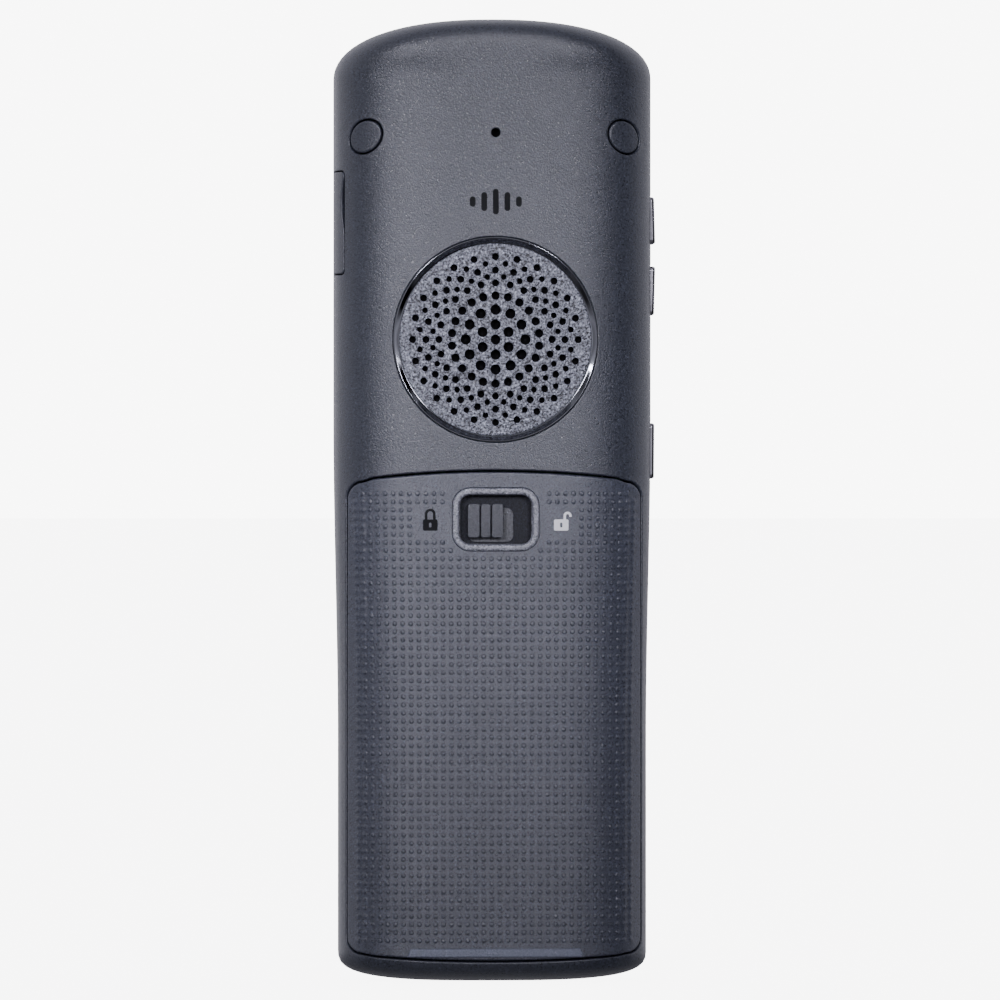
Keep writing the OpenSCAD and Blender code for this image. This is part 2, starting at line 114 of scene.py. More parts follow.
class Face:
    """A cover's outer face, unrolled: s runs across the section from the middle, t along the length.

    Between the ends t is the height itself. Past them it runs on over the rounded end to the rim."""

    def __init__(self, sign, depth, power, top_end, foot_end):
        self.sign, self.depth, self.power = sign, depth, power
        self.across, self.across_u, self.across_v = quarter_curve(HALF_TOP, depth, power, power)
        self.half_s = self.across[-1]
        self.ends = {}
        sizes = (("top", TOP_RUN, TOP_POWER, top_end), ("foot", FOOT_RUN, FOOT_POWER, foot_end))
        for name, run, plan, end in sizes:
            arc, u, v = quarter_curve(run, depth, end, power)
            self.ends[name] = (arc, u, v, run, plan, end)
        self.t_low = FOOT_RUN - self.ends["foot"][0][-1]
        self.t_high = LENGTH - TOP_RUN + self.ends["top"][0][-1]

    def point(self, s, t):
        s, t = np.broadcast_arrays(np.asarray(s, float), np.asarray(t, float))
        u = np.interp(np.abs(s), self.across, self.across_u)
        v = np.interp(np.abs(s), self.across, self.across_v)
        x, y, z = np.zeros(s.shape), np.zeros(s.shape), np.zeros(s.shape)
        for name in ("top", "foot"):
            arc, end_u, end_v, run, plan, end = self.ends[name]
            start = LENGTH - TOP_RUN if name == "top" else FOOT_RUN
            mine = t > MIDDLE_T if name == "top" else t <= MIDDLE_T
            past = (t - start if name == "top" else start - t)[mine]
            across_p = eased(u[mine] ** plan, np.abs(s[mine]) / self.half_s)
            along_p = eased(np.interp(past, arc, end_u) ** plan, past / arc[-1])
            left_s = rest_of(plan / self.power, v[mine] ** self.power)
            left_t = rest_of(plan / end, np.interp(past, arc, end_v) ** self.power)
            left = left_s * left_t
            to_end = along_p * (1 - across_p / 2)
            share = np.divide(to_end, 1 - left, out=np.zeros_like(left), where=left < 1 - 1e-12)
            exponent = self.power + (end - self.power) * share
            y[mine] = self.depth * rest_of(exponent / plan, left) ** (1 / self.power)
            out = (across_p * (1 - along_p / 2)) ** (1 / plan)
            up = to_end ** (1 / plan)
            if name == "top":
                flat = np.minimum(t[mine], start) + run * up
                z[mine] = flat - TOP_ARCH * out ** 2 * smooth((flat - LENGTH + ARCH_REACH) / ARCH_RUN)
            else:
                z[mine] = np.maximum(t[mine], start) - run * up
            x[mine] = out * np.sign(s[mine]) * half_width(z[mine])
        return np.stack([x, PART_Y + self.sign * y, z], axis=-1)

    def normal(self, s, t):
        step, rim = 0.01, 0.3
        s, t = np.broadcast_arrays(np.asarray(s, float), np.asarray(t, float))
        s = np.clip(s, -self.half_s + rim, self.half_s - rim)
        t = np.clip(t, self.t_low + rim, self.t_high - rim)
        along = self.point(s, t + step) - self.point(s, t - step)
        n = np.cross(along, self.point(s + step, t) - self.point(s - step, t))
        return self.sign * n / np.linalg.norm(n, axis=-1, keepdims=True)

    def place(self, loop, depth=0.0):
        """The loop's points, sunk that far below the face."""
        loop = np.asarray(loop, float)
        s, t = loop[..., 0], loop[..., 1]
        depth = np.asarray(depth, float)[..., None]
        return self.point(s, t) - depth * self.normal(s, t)

    def unroll_x(self, loop):
        """A loop drawn in plain view (x, z), on the unrolled face."""
        loop = np.asarray(loop, float)
        u = np.clip(np.abs(loop[:, 0]) / half_width(loop[:, 1]), 0, 1)
        s = np.interp(u, self.across_u, self.across)
        return np.stack([np.sign(loop[:, 0]) * s, loop[:, 1]], axis=1)

    def s_at_y(self, y):
        """How far across the face lies at this depth coordinate."""
        v = abs(y - PART_Y) / self.depth
        return float(np.interp(-v, -self.across_v, self.across))

    def t_at_foot(self, y):
        """How far along the face is, on the rounded foot, at this depth coordinate."""
        arc, _, v, *_ = self.ends["foot"]
        return FOOT_RUN - float(np.interp(-abs(y - PART_Y) / self.depth, -v, arc))


class Flat:
    """A flat face at one depth."""

    def __init__(self, y, sign=1):
        self.y, self.sign = y, sign

    def place(self, loop, depth=0.0):
        loop = np.asarray(loop, float)
        y = self.y - self.sign * (np.asarray(depth, float) + np.zeros(loop.shape[:-1]))
        return np.stack([loop[..., 0], y, loop[..., 1]], axis=-1)


class Domed(Flat):
    """A round face that bulges in the middle, centred on x = 0."""

    def __init__(self, y, rise, centre_z, radius):
        super().__init__(y)
        self.rise, self.centre_z, self.radius = rise, centre_z, radius

    def place(self, loop, depth=0.0):
        at = super().place(loop, depth)
        out = np.hypot(at[..., 0], at[..., 2] - self.centre_z) / self.radius
        at[..., 1] += self.rise * np.clip(1 - out ** 2, 0, 1)
        return at


back = Face(1, BACK, 3.0, 9.0, 3.5)
front = Face(-1, FRONT, 7.0, 14.0, 8.0)

# ---------- loops: closed outlines, anticlockwise in (s, t) ----------


def rounded(cx, cz, w, h, r, per_corner=6, step=1.0):
    """A rounded rectangle with points along its straight sides too."""
    loop = []
    for quadrant, (sx, sz) in enumerate(((1, 1), (-1, 1), (-1, -1), (1, -1))):
        for i in range(per_corner + 1):
            a = math.pi / 2 * (quadrant + i / per_corner)
            loop.append((cx + sx * (w / 2 - r) + r * math.cos(a),
                         cz + sz * (h / 2 - r) + r * math.sin(a)))
    return fill_in(loop, step)


def circle(cx, cz, r, count=48, start=0.0):
    a = start + np.arange(count) * 2 * math.pi / count
    return np.stack([cx + r * np.cos(a), cz + r * np.sin(a)], axis=1)


def arc(cx, cz, rx, rz, first, last, count):
    """Points along an arc between two directions in degrees."""
    turns = [math.radians(first + (last - first) * i / count) for i in range(count + 1)]
    return [(cx + rx * math.cos(a), cz + rz * math.sin(a)) for a in turns]


def fill_in(loop, step):
    """Adds points so that no side is longer than the step."""
    out = []
    for p, q in zip(loop, list(loop[1:]) + [loop[0]]):
        p, q = np.asarray(p, float), np.asarray(q, float)
        n = max(1, math.ceil(np.linalg.norm(q - p) / step - 1e-6))
        out += [p + (q - p) * i / n for i in range(n)]
    return np.array(out)


def grown(loop, distance):
    """The loop moved outwards by a distance, or inwards if it is below 0."""
    ahead, behind = np.roll(loop, -1, axis=0), np.roll(loop, 1, axis=0)
    one, two = loop - behind, ahead - loop
    one /= np.linalg.norm(one, axis=1, keepdims=True)
    two /= np.linalg.norm(two, axis=1, keepdims=True)
    out_one = np.stack([one[:, 1], -one[:, 0]], axis=1)
    out_two = np.stack([two[:, 1], -two[:, 0]], axis=1)
    middle = out_one + out_two
    middle /= np.maximum((middle * out_one).sum(axis=1, keepdims=True), 0.5)
    return loop + middle * distance


def inside(points, loop):
    """True for each point inside the loop."""
    x, y = points[:, 0], points[:, 1]
    hit = np.zeros(len(points), bool)
    for (x0, y0), (x1, y1) in zip(loop, np.roll(loop, -1, axis=0)):
        if y0 != y1:
            hit ^= ((y0 > y) != (y1 > y)) & (x < (x1 - x0) * (y - y0) / (y1 - y0) + x0)
    return hit


def nearest(points, loop):
    """Distance from each point to the loop's own points."""
    best = np.full(len(points), 1e9)
    for i in range(0, len(loop), 64):
        gap = np.linalg.norm(points[:, None, :] - loop[None, i:i + 64, :], axis=2)
        best = np.minimum(best, gap.min(axis=1))
    return best


def nearest_side(points, loop):
    """Distance from each point to the loop's sides."""
    best = np.full(len(points), 1e9)
    for p, q in zip(loop, np.roll(loop, -1, axis=0)):
        side = q - p
        share = np.clip(((points - p) @ side) / max(side @ side, 1e-12), 0, 1)
        best = np.minimum(best, np.linalg.norm(points - p - share[:, None] * side, axis=1))
    return best


def grid(loop, holes, spacing, margin):
    """A staggered grid inside the loop and outside the holes, clear of both."""
    low, high = loop.min(axis=0), loop.max(axis=0)
    rows = np.arange(low[1], high[1], spacing * 0.866)
    dots = []
    for i, row in enumerate(rows):
        xs = np.arange(low[0] + (i % 2) * spacing / 2, high[0], spacing)
        dots.append(np.stack([xs, np.full(len(xs), row)], axis=1))
    dots = np.concatenate(dots)
    dots = dots[inside(dots, loop)]
    dots = dots[nearest_side(dots, loop) > margin]
    for hole in holes:
        dots = dots[~inside(dots, hole)]
        dots = dots[nearest_side(dots, hole) > margin]
    return dots


def triangles(loop, holes, loose):
    """Triangles over the loop's inside, as indices into loop, then holes, then loose points."""
    rings = [loop, *holes]
    points = np.concatenate([*rings, loose]) if len(loose) else np.concatenate(rings)
    edges, at = [], 0
    for ring in rings:
        n = len(ring)
        edges += [(at + i, at + (i + 1) % n) for i in range(n)]
        at += n
    got = delaunay_2d_cdt([Vector(p) for p in points], edges, [], 0, 1e-7, True)
    back_to = [ids[0] if ids else None for ids in got[3]]
    tris = np.array([[back_to[i] for i in f] for f in got[2]])
    return tris[reached(points, tris, {tuple(sorted(e)) for e in edges}, loop, holes)]


def reached(points, tris, walls, loop, holes):
    """The triangles reached from one that is surely inside, without crossing an outline."""
    one, two = points[tris[:, 1]] - points[tris[:, 0]], points[tris[:, 2]] - points[tris[:, 0]]
    area = np.abs(one[:, 0] * two[:, 1] - one[:, 1] * two[:, 0])
    centre = points[tris].mean(axis=1)
    keep = inside(centre, loop)
    for hole in holes:
        keep &= ~inside(centre, hole)
    neighbours = {}
    for i, tri in enumerate(tris.tolist()):
        for a, b in zip(tri, tri[1:] + tri[:1]):
            neighbours.setdefault((min(a, b), max(a, b)), []).append(i)
    start = int(np.argmax(np.where(keep, area, -1)))
    seen, ahead = {start}, [start]
    while ahead:
        tri = tris[ahead.pop()].tolist()
        for a, b in zip(tri, tri[1:] + tri[:1]):
            edge = (min(a, b), max(a, b))
            if edge in walls:
                continue
            for i in neighbours[edge]:
                if i not in seen:
                    seen.add(i)
                    ahead.append(i)
    return sorted(seen)


# ---------- meshes ----------

WELD = 2e-8  # metres
LOOSE_ROOM = 0.3
BATCH = 4000


def mesh(name, points, faces, body, slot, look, stands_for=(), sharp=40):
    """Makes a piece that rides on a body. The points are in millimetres."""
    data = bpy.data.meshes.new(name)
    points = [tuple(p * MM) for p in np.asarray(points, float)]
    data.from_pydata(points, [], [tuple(int(i) for i in f) for f in faces])
    build = bmesh.new()
    build.from_mesh(data)
    bmesh.ops.remove_doubles(build, verts=build.verts, dist=WELD)
    bmesh.ops.recalc_face_normals(build, faces=build.faces)
    build.to_mesh(data)
    build.free()
    for polygon in data.polygons:
        polygon.use_smooth = True
    data.set_sharp_from_angle(angle=math.radians(sharp))
    piece = bpy.data.objects.new(name, data)
    bpy.context.scene.collection.objects.link(piece)
    data.materials.append(look)
    even = piece.modifiers.new("flat_faces_lead", "WEIGHTED_NORMAL")
    even.keep_sharp = True
    even.weight = 75
    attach(piece, body)
    if stands_for:
        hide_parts(*stands_for)
    return piece


class Builder:
    """Collects points and faces for one mesh."""

    def __init__(self):
        self.points, self.faces, self.count = [], [], 0

    def add(self, points):
        points = np.asarray(points, float).reshape(-1, 3)
        ids = np.arange(self.count, self.count + len(points))
        self.points.append(points)
        self.count += len(points)
        return ids

    def band(self, one, two):
        """Quads between two rings of the same length."""
        for i in range(len(one)):
            j = (i + 1) % len(one)
            self.faces.append((one[i], one[j], two[j], two[i]))

    def patch(self, ids, tris):
        self.faces += [tuple(ids[i] for i in t) for t in tris]

    def make(self, name, *rest, **more):
        return mesh(name, np.concatenate(self.points), self.faces, *rest, **more)


def edge_rings(loop, radius, wall, way, lift=0.0):
    """Rings round a filleted edge as (loop, depth). way is 1 for a hole, or -1 for the outline.

    A wide fillet starts with a ring on the flat beside it, which keeps the shading there even."""
    rings = [(grown(loop, way * radius * 1.5), -lift)] if radius >= 0.1 else []
    for a in (0, 30, 60, 90) if radius >= 0.1 else (0, 45, 90):
        turn = math.radians(a)
        side = grown(loop, way * radius * (1 - math.sin(turn)))
        rings.append((side, radius * (1 - math.cos(turn)) - lift))
    rings.append((loop, wall))
    return rings


def shell(face, outline, holes, wall=WALL, radius=0.25, spacing=1.3, loose=None, lift=0.0,
          inner_spacing=4.0, margin=0.55):
    """A closed sheet on a face: an outline and (hole, radius) loops with rounded edges, and an inner skin.

    loose adds (points, heights) to the outer skin. lift raises the outer skin above the face."""
    build = Builder()
    outer = edge_rings(outline, radius, wall, -1, lift)
    hole_rings = [edge_rings(h, r, wall, 1, lift) for h, r in holes]
    tops = [rings[0][0] for rings in hole_rings]
    dots = grid(outer[0][0], tops, spacing, spacing * margin)
    heights = np.zeros(len(dots))
    if loose is not None:
        far = np.full(len(dots), True)
        for i in range(0, len(loose[0]), BATCH):
            part = loose[0][i:i + BATCH]
            low, high = part.min(axis=0) - 1, part.max(axis=0) + 1
            near = np.all((dots > low) & (dots < high), axis=1) & far
            far[near] &= nearest(dots[near], part) > LOOSE_ROOM
        dots = np.concatenate([dots[far], loose[0]])
        heights = np.concatenate([heights[far], loose[1]])
    tris = triangles(outer[0][0], tops, dots)
    ids = [build.add(face.place(outer[0][0], outer[0][1]))]
    ids += [build.add(face.place(rings[0][0], rings[0][1])) for rings in hole_rings]
    ids.append(build.add(face.place(dots, -lift - heights)))
    build.patch(np.concatenate(ids), tris)
    last = []
    for first, rings in zip(ids, [outer, *hole_rings]):
        previous = first
        for loop, depth in rings[1:]:
            current = build.add(face.place(loop, depth))
            build.band(previous, current)
            previous = current
        last.append(previous)
    inner_holes = [rings[-1][0] for rings in hole_rings]
    dots = grid(outer[-1][0], inner_holes, inner_spacing, inner_spacing * 0.4)
    tris = triangles(outer[-1][0], inner_holes, dots)
    last.append(build.add(face.place(dots, wall)))
    build.patch(np.concatenate(last), tris)
    return build


def tube_solid(rings):
    """A closed ring-shaped mesh: the last ring joins the first."""
    build = Builder()
    ids = [build.add(ring) for ring in rings]
    for one, two in zip(ids, ids[1:] + ids[:1]):
        build.band(one, two)
    return build


def rings_solid(rings):
    """A closed mesh from rings of equal length, in order, with a fan over the first and the last."""
    build = Builder()
    ids = [build.add(ring) for ring in rings]
    for one, two in zip(ids, ids[1:]):
        build.band(one, two)
    for ring, points in ((ids[0], rings[0]), (ids[-1], rings[-1])):
        hub = build.add(np.mean(points, axis=0))[0]
        for i in range(len(ring)):
            build.faces.append((ring[i], ring[(i + 1) % len(ring)], hub))
    return build


def level(loop, y):
    """A flat loop at one depth."""
    loop = np.asarray(loop, float)
    return np.stack([loop[:, 0], np.full(len(loop), float(y)), loop[:, 1]], axis=1)


# ---------- materials ----------


def shader(name, colour, roughness, metal=0.0, coat=0.0, specular=0.5):
    """A principled material and its node tree."""
    look = bpy.data.materials.new(name)
    look.use_nodes = True
    tree = look.node_tree
    surface = tree.nodes["Principled BSDF"]
    surface.inputs["Base Color"].default_value = (*colour, 1)
    settings = {"Roughness": roughness, "Metallic": metal, "Specular IOR Level": specular,
                "Coat Weight": coat, "Coat Roughness": 0.1}
    for key, number in settings.items():
        surface.inputs[key].default_value = number
    look.diffuse_color = (*colour, 1)
    return look, tree, surface


def own_place(tree):
    """The object's own coordinates."""
    return tree.nodes.new("ShaderNodeTexCoord").outputs["Object"]


def noise(tree, size_mm, detail=2.0, stretch=(1, 1, 1), roughness=0.5):
    """Noise on the object's own coordinates with features of about that size."""
    stretched = tree.nodes.new("ShaderNodeMapping")
    stretched.inputs["Scale"].default_value = stretch
    texture = tree.nodes.new("ShaderNodeTexNoise")
    texture.inputs["Scale"].default_value = 1 / (size_mm * MM)
    texture.inputs["Detail"].default_value = detail
    texture.inputs["Roughness"].default_value = roughness
    tree.links.new(own_place(tree), stretched.inputs["Vector"])
    tree.links.new(stretched.outputs["Vector"], texture.inputs["Vector"])
    return texture.outputs["Fac"]


def ramp(tree, value, low, high, colour_low, colour_high, beyond=None):
    """Blends two colours as the value goes from low to high. beyond adds a further (value, colour)."""
    node = tree.nodes.new("ShaderNodeValToRGB")
    node.color_ramp.elements[0].position = low
    node.color_ramp.elements[1].position = high
    node.color_ramp.elements[0].color = (*colour_low, 1)
    node.color_ramp.elements[1].color = (*colour_high, 1)
    if beyond:
        node.color_ramp.elements.new(beyond[0]).color = (*beyond[1], 1)
    tree.links.new(value, node.inputs["Fac"])
    return node.outputs["Color"]


def spread(tree, value, low, high, out_low, out_high):
    node = tree.nodes.new("ShaderNodeMapRange")
    for key, number in (("From Min", low), ("From Max", high), ("To Min", out_low), ("To Max", out_high)):
        node.inputs[key].default_value = number
    tree.links.new(value, node.inputs["Value"])
    return node.outputs["Result"]


def mixed(tree, one, two, factor):
    node = tree.nodes.new("ShaderNodeMix")
    node.data_type = "RGBA"
    tree.links.new(factor, node.inputs["Factor"])
    tree.links.new(one, node.inputs["A"])
    tree.links.new(two, node.inputs["B"])
    return node.outputs["Result"]


def joined(tree, operation, *values):
    """The result of a math node on the values."""
    node = tree.nodes.new("ShaderNodeMath")
    node.operation = operation
    for value, socket in zip(values, node.inputs):
        tree.links.new(value, socket)
    return node.outputs["Value"]


def dress(tree, surface, tone, gloss, height, strength, distance_mm):
    """Wires a finish's colour, its roughness where that varies, and its bump."""
    bump = tree.nodes.new("ShaderNodeBump")
    bump.inputs["Strength"].default_value = strength
    bump.inputs["Distance"].default_value = distance_mm * MM
    tree.links.new(height, bump.inputs["Height"])
    tree.links.new(bump.outputs["Normal"], surface.inputs["Normal"])
    tree.links.new(tone, surface.inputs["Base Color"])
    if gloss:
        tree.links.new(gloss, surface.inputs["Roughness"])


def shade(colour, factor):
    return tuple(c * factor for c in colour)


def moulded(name, colour, roughness=0.4, grain_mm=0.32, grain=0.9, speckle=0.5, specular=0.85):
    """Spark-textured plastic: fine grain, pale specks, a faint mottle and a little wear in the gloss."""
    look, tree, surface = shader(name, colour, roughness, specular=specular)
    fine = noise(tree, grain_mm, 3.0, roughness=0.7)
    base = ramp(tree, noise(tree, 14, 2.0), 0.35, 0.65, shade(colour, 0.9), shade(colour, 1.1))
    speck = ramp(tree, fine, 0.36, 0.66, shade(colour, 1 - speckle), shade(colour, 1 + speckle * 2),
                 (0.76, shade(colour, 1 + speckle * 10)))
    share = spread(tree, noise(tree, 2.5, 1.0), 0.3, 0.7, 0.4, 0.95)
    gloss = spread(tree, fine, 0.3, 0.7, roughness - 0.1, roughness + 0.1)
    dress(tree, surface, mixed(tree, base, speck, share), gloss, fine, grain, 0.08)
    return look


def polished(name, colour, roughness, metal=0.0, coat=0.0, smear=0.06, specular=0.5):
    """A smooth moulding or plating with faint smears in its gloss."""
    look, tree, surface = shader(name, colour, roughness, metal=metal, coat=coat, specular=specular)
    cloud = noise(tree, 6, 3.0)
    gloss = spread(tree, cloud, 0.35, 0.65, max(roughness - smear, 0.02), roughness + smear)
    tone = ramp(tree, cloud, 0.3, 0.7, shade(colour, 0.93), shade(colour, 1.07))
    dress(tree, surface, tone, gloss, noise(tree, 0.9, 2.0), 0.04, 0.05)
    return look


def brushed(name, colour, roughness=0.3, stretch=(1, 1, 14)):
    """Metal with fine drawn lines."""
    look, tree, surface = shader(name, colour, roughness, metal=1.0)
    lines = noise(tree, 1.2, 4.0, stretch)
    gloss = spread(tree, lines, 0.3, 0.7, roughness - 0.08, roughness + 0.12)
    tone = ramp(tree, lines, 0.3, 0.7, shade(colour, 0.88), shade(colour, 1.05))
    dress(tree, surface, tone, gloss, lines, 0.08, 0.03)
    return look


def speckled_metal(name, colour):
    """The loudspeaker's disc: painted metal with a coarse sandy texture."""
    look, tree, surface = shader(name, colour, 0.36, metal=0.3, specular=0.9)
    grain = noise(tree, 0.34, 2.0, roughness=0.6)
    tone = ramp(tree, grain, 0.38, 0.62, shade(colour, 0.15), shade(colour, 2.4), (0.72, shade(colour, 6)))
    dress(tree, surface, tone, spread(tree, grain, 0.3, 0.7, 0.26, 0.5), grain, 1.0, 0.22)
    return look


def woven(name, colour):
    """A gauze of crossing threads."""
    look, tree, surface = shader(name, colour, 0.9, specular=0.1)
    threads = []
    for axis in "XZ":
        wave = tree.nodes.new("ShaderNodeTexWave")
        wave.bands_direction = axis
        wave.inputs["Scale"].default_value = 0.35 / MM
        tree.links.new(own_place(tree), wave.inputs["Vector"])
        threads.append(wave.outputs["Fac"])
    height = joined(tree, "MULTIPLY", *threads)
    tone = ramp(tree, height, 0.2, 0.8, shade(colour, 0.6), shade(colour, 1.6))
    dress(tree, surface, tone, None, height, 0.4, 0.1)
    return look


def circuit(name):
    """Green solder mask over copper tracks."""
    look, tree, surface = shader(name, (0.015, 0.09, 0.04), 0.35)
    tracks = tree.nodes.new("ShaderNodeTexVoronoi")
    tracks.distance = "MANHATTAN"
    tracks.inputs["Scale"].default_value = 0.25 / MM
    tree.links.new(own_place(tree), tracks.inputs["Vector"])
    height = tracks.outputs["Distance"]
    tone = ramp(tree, height, 0.45, 0.5, (0.012, 0.075, 0.035), (0.03, 0.16, 0.07))
    dress(tree, surface, tone, None, height, 0.1, 0.05)
    return look


CASING = (0.026, 0.030, 0.042)
COVER = (0.037, 0.042, 0.059)
casing_look = moulded("casing_plastic", CASING, roughness=0.35)
cover_look = moulded("battery_cover_plastic", COVER, roughness=0.35)
rib_look = moulded("cover_rib_plastic", shade(COVER, 2.9), roughness=0.42, speckle=0.3)
front_look = moulded("front_casing_plastic", shade(CASING, 0.6), roughness=0.46, speckle=0.25, specular=0.5)
grille_look = speckled_metal("grille_paint", (0.114, 0.120, 0.143))
chrome_look = polished("dark_chrome", (0.16, 0.165, 0.182), 0.1, metal=1.0, smear=0.03)
window_look = polished("display_window_black", (0.006, 0.006, 0.008), 0.06, coat=0.6, smear=0.02)
display_look = polished("display_unlit", (0.018, 0.022, 0.028), 0.16, coat=0.3, smear=0.03)
bezel_look = moulded("bezel_plastic", (0.16, 0.165, 0.19), roughness=0.36, speckle=0.95, grain=1.0)
# The lock's well: near-black, painted shade in the deep recess under the bezel's rim.
well_painted_shade_look = moulded("well_plastic_painted_shade", (0.010, 0.011, 0.016), roughness=0.6, speckle=0.95, specular=0.3)
plate_look = moulded("latch_plate_plastic", (0.034, 0.036, 0.044), roughness=0.42, speckle=0.95,
                     specular=0.7, grain=1.0)
slider_look = moulded("latch_plastic", (0.036, 0.039, 0.049), specular=0.6, speckle=0.3, grain=0.6)
sign_look = polished("sign_print", (0.004, 0.0045, 0.006), 0.5, specular=0.12)
foil_light_look = polished("foil_light", (0.93, 0.93, 0.94), 0.3)
flap_look = moulded("flap_rubber", CASING, speckle=0.4, grain=0.7)
side_key_look = polished("side_key_silver", (0.30, 0.295, 0.32), 0.16, metal=1.0, smear=0.04)
key_look = moulded("key_plastic", (0.040, 0.043, 0.052), speckle=0.12, grain=0.15, specular=0.5)
call_look = moulded("call_key_green", (0.03, 0.22, 0.07), roughness=0.38, speckle=0.12, grain=0.15)
end_look = moulded("end_key_red", (0.36, 0.025, 0.02), roughness=0.38, speckle=0.12, grain=0.15)
ring_look = polished("nav_ring_satin", (0.36, 0.37, 0.39), 0.26, metal=1.0)
legend_look = polished("legend_print", (0.72, 0.73, 0.75), 0.5)
steel_look = brushed("plated_steel", (0.56, 0.57, 0.58))
frame_look = moulded("frame_plastic", (0.012, 0.0125, 0.014), roughness=0.55, speckle=0.1, specular=0.2)
board_look = circuit("solder_mask")
chip_look = moulded("chip_plastic", (0.02, 0.02, 0.022), roughness=0.5)
gold_look = brushed("contact_gold", (0.83, 0.62, 0.30), 0.2, stretch=(1, 1, 1))
mat_look = moulded("keypad_silicone", (0.30, 0.31, 0.32), roughness=0.65, grain=0.1)
# Near-black: partly the gauze's own black, partly painted shade in the holes over the meshes and the
# microphones.
gauze_and_hole_shade_look = woven("black_gauze_and_hole_shade", (0.004, 0.004, 0.0045))
cone_look = moulded("cone_paper", (0.03, 0.03, 0.03), roughness=0.8, grain_mm=0.6)
magnet_look = brushed("magnet_iron", (0.30, 0.30, 0.31), 0.35)
socket_look = polished("socket_black", (0.012, 0.012, 0.013), 0.25)
flex_look = polished("polyimide_film", (0.45, 0.22, 0.05), 0.3)
battery_look = polished("battery_wrap", (0.035, 0.05, 0.10), 0.3, coat=0.2)
floor_look, _, floor_surface = shader("floor_paper", (0.85, 0.85, 0.85), 0.9)
floor_surface.inputs["Emission Color"].default_value = (1, 1, 1, 1)
floor_surface.inputs["Emission Strength"].default_value = 7.0


def paint(look, *nodes, edge=0.0):
    """Gives CAD nodes their finish and, with an edge in millimetres, softly bevelled edges."""
    for node in nodes:
        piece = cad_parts[node]
        if not piece.material_slots:
            piece.data.materials.append(look)
        for holder in piece.material_slots:
            holder.link = "OBJECT"
            holder.material = look
        if edge:
            bevel = piece.modifiers.new("soft_edge", "BEVEL")
            bevel.width = edge * MM
            bevel.segments = 2
            bevel.limit_method = "ANGLE"
            bevel.angle_limit = math.radians(50)
            bevel.harden_normals = False


# ---------- back of the handset ----------

ring_low, ring_high = box_mm("speaker_ring")
RING_R = (ring_high[0] - ring_low[0]) / 2
GRILLE_Z = (ring_low[2] + ring_high[2]) / 2
grille_low, grille_high = box_mm("speaker_grille")
GRILLE_R = (grille_high[0] - grille_low[0]) / 2
GRILLE_Y = grille_high[1]
GRILLE_RISE = 0.6
MIC_Z = box_mm("rear_microphone")[0][2] + 1.6
PLUG_X, PLUG_Z, PLUG_R = 21.4, 138.8, 3.0
PLUG_FLATTER, PLUG_LEAN, PLUG_GAP = 0.2, 0.2, 0.14
DOOR_LOW, DOOR_HIGH, DOOR_HALF, SEAM = 3.7, 83.8, 24.2, 0.3
DOOR_WALL = 1.3
bezel_low, bezel_high = box_mm("latch_bezel")
LATCH_Z = (bezel_low[2] + bezel_high[2]) / 2
BEZEL_W, BEZEL_H, BEZEL_R = 14.2, 10.3, 2.9
WELL_W, WELL_H, WELL_R = 11.7, 8.0, 1.6
WELL_FLOOR_Y = 8.9
flap_low, flap_high = box_mm("jack_cover")
FLAP_GAP = 0.15
SIDE_KEYS = ("volume_up_key", "volume_down_key", "talk_key")
SIDE_FLANGE = 0.7


def door_outline():
    """The battery cover's outline in plain view: arched ends and rounded corners."""
    foot_r, top_r = 2.4, 2.6
    foot_arch, top_arch = 1.1, 1.7
    right = [(x, DOOR_LOW + foot_arch * (x / DOOR_HALF) ** 2) for x in range(0, 21)]
    foot_z, top_z = DOOR_LOW + foot_arch + foot_r, DOOR_HIGH - top_arch - top_r
    right += arc(DOOR_HALF - foot_r, foot_z, foot_r, foot_r, -90, 0, 5)
    right += arc(DOOR_HALF - top_r, top_z, top_r, top_r, 0, 90, 5)
    right += [(x, DOOR_HIGH - top_arch * (x / DOOR_HALF) ** 2) for x in range(20, -1, -1)]
    left = [(-x, z) for x, z in reversed(right) if x > 0]
    return back.unroll_x(fill_in(right + left, 1.0))


def flap_outline(gap):
    """The socket flap's outline on the unrolled back, with a finger notch in its rear edge."""
    near = back.s_at_y(flap_high[1] + FLAP_GAP) + gap
    far = back.s_at_y(flap_low[1] - FLAP_GAP) - gap
    low, high = flap_low[2] - FLAP_GAP + gap, flap_high[2] + 2 * FLAP_GAP - gap
    loop = rounded((near + far) / 2, (low + high) / 2, far - near, high - low, 0.9 - gap, step=0.7)
    notch_low, notch_high, notch_depth = 123.5, 132.4, 0.8
    if gap:
        at = (loop[:, 0] < near + 0.3) & (loop[:, 1] > notch_low) & (loop[:, 1] < notch_high)
        way = (loop[at, 1] - notch_low) / (notch_high - notch_low)
        loop[at, 0] += notch_depth * np.sin(way * math.pi) ** 0.8
    return loop


def cover_outline(face):
    """The parting line unrolled, with a notch round each side key, whose window crosses it."""
    rim, cut, room = 0.02, 0.8, 0.12
    s, low, high = face.half_s - rim, face.t_low + rim, face.t_high - rim
    points = [(s - cut, low), (s, low + cut), (s, high - cut)]
    points += [(s - cut, high), (cut - s, high), (-s, high - cut)]
    for node in SIDE_KEYS:
        key_low, key_high = box_mm(node)
        y = key_high[1] + room if face is back else key_low[1] - room
        notch = -face.s_at_y(y)
        z_low, z_high = key_low[2] + SIDE_FLANGE - room, key_high[2] - SIDE_FLANGE + room
        points += [(-s, z_high), (notch, z_high), (notch, z_low), (-s, z_low)]
    points += [(-s, low + cut), (cut - s, low)]
    return fill_in(points, 1.0)


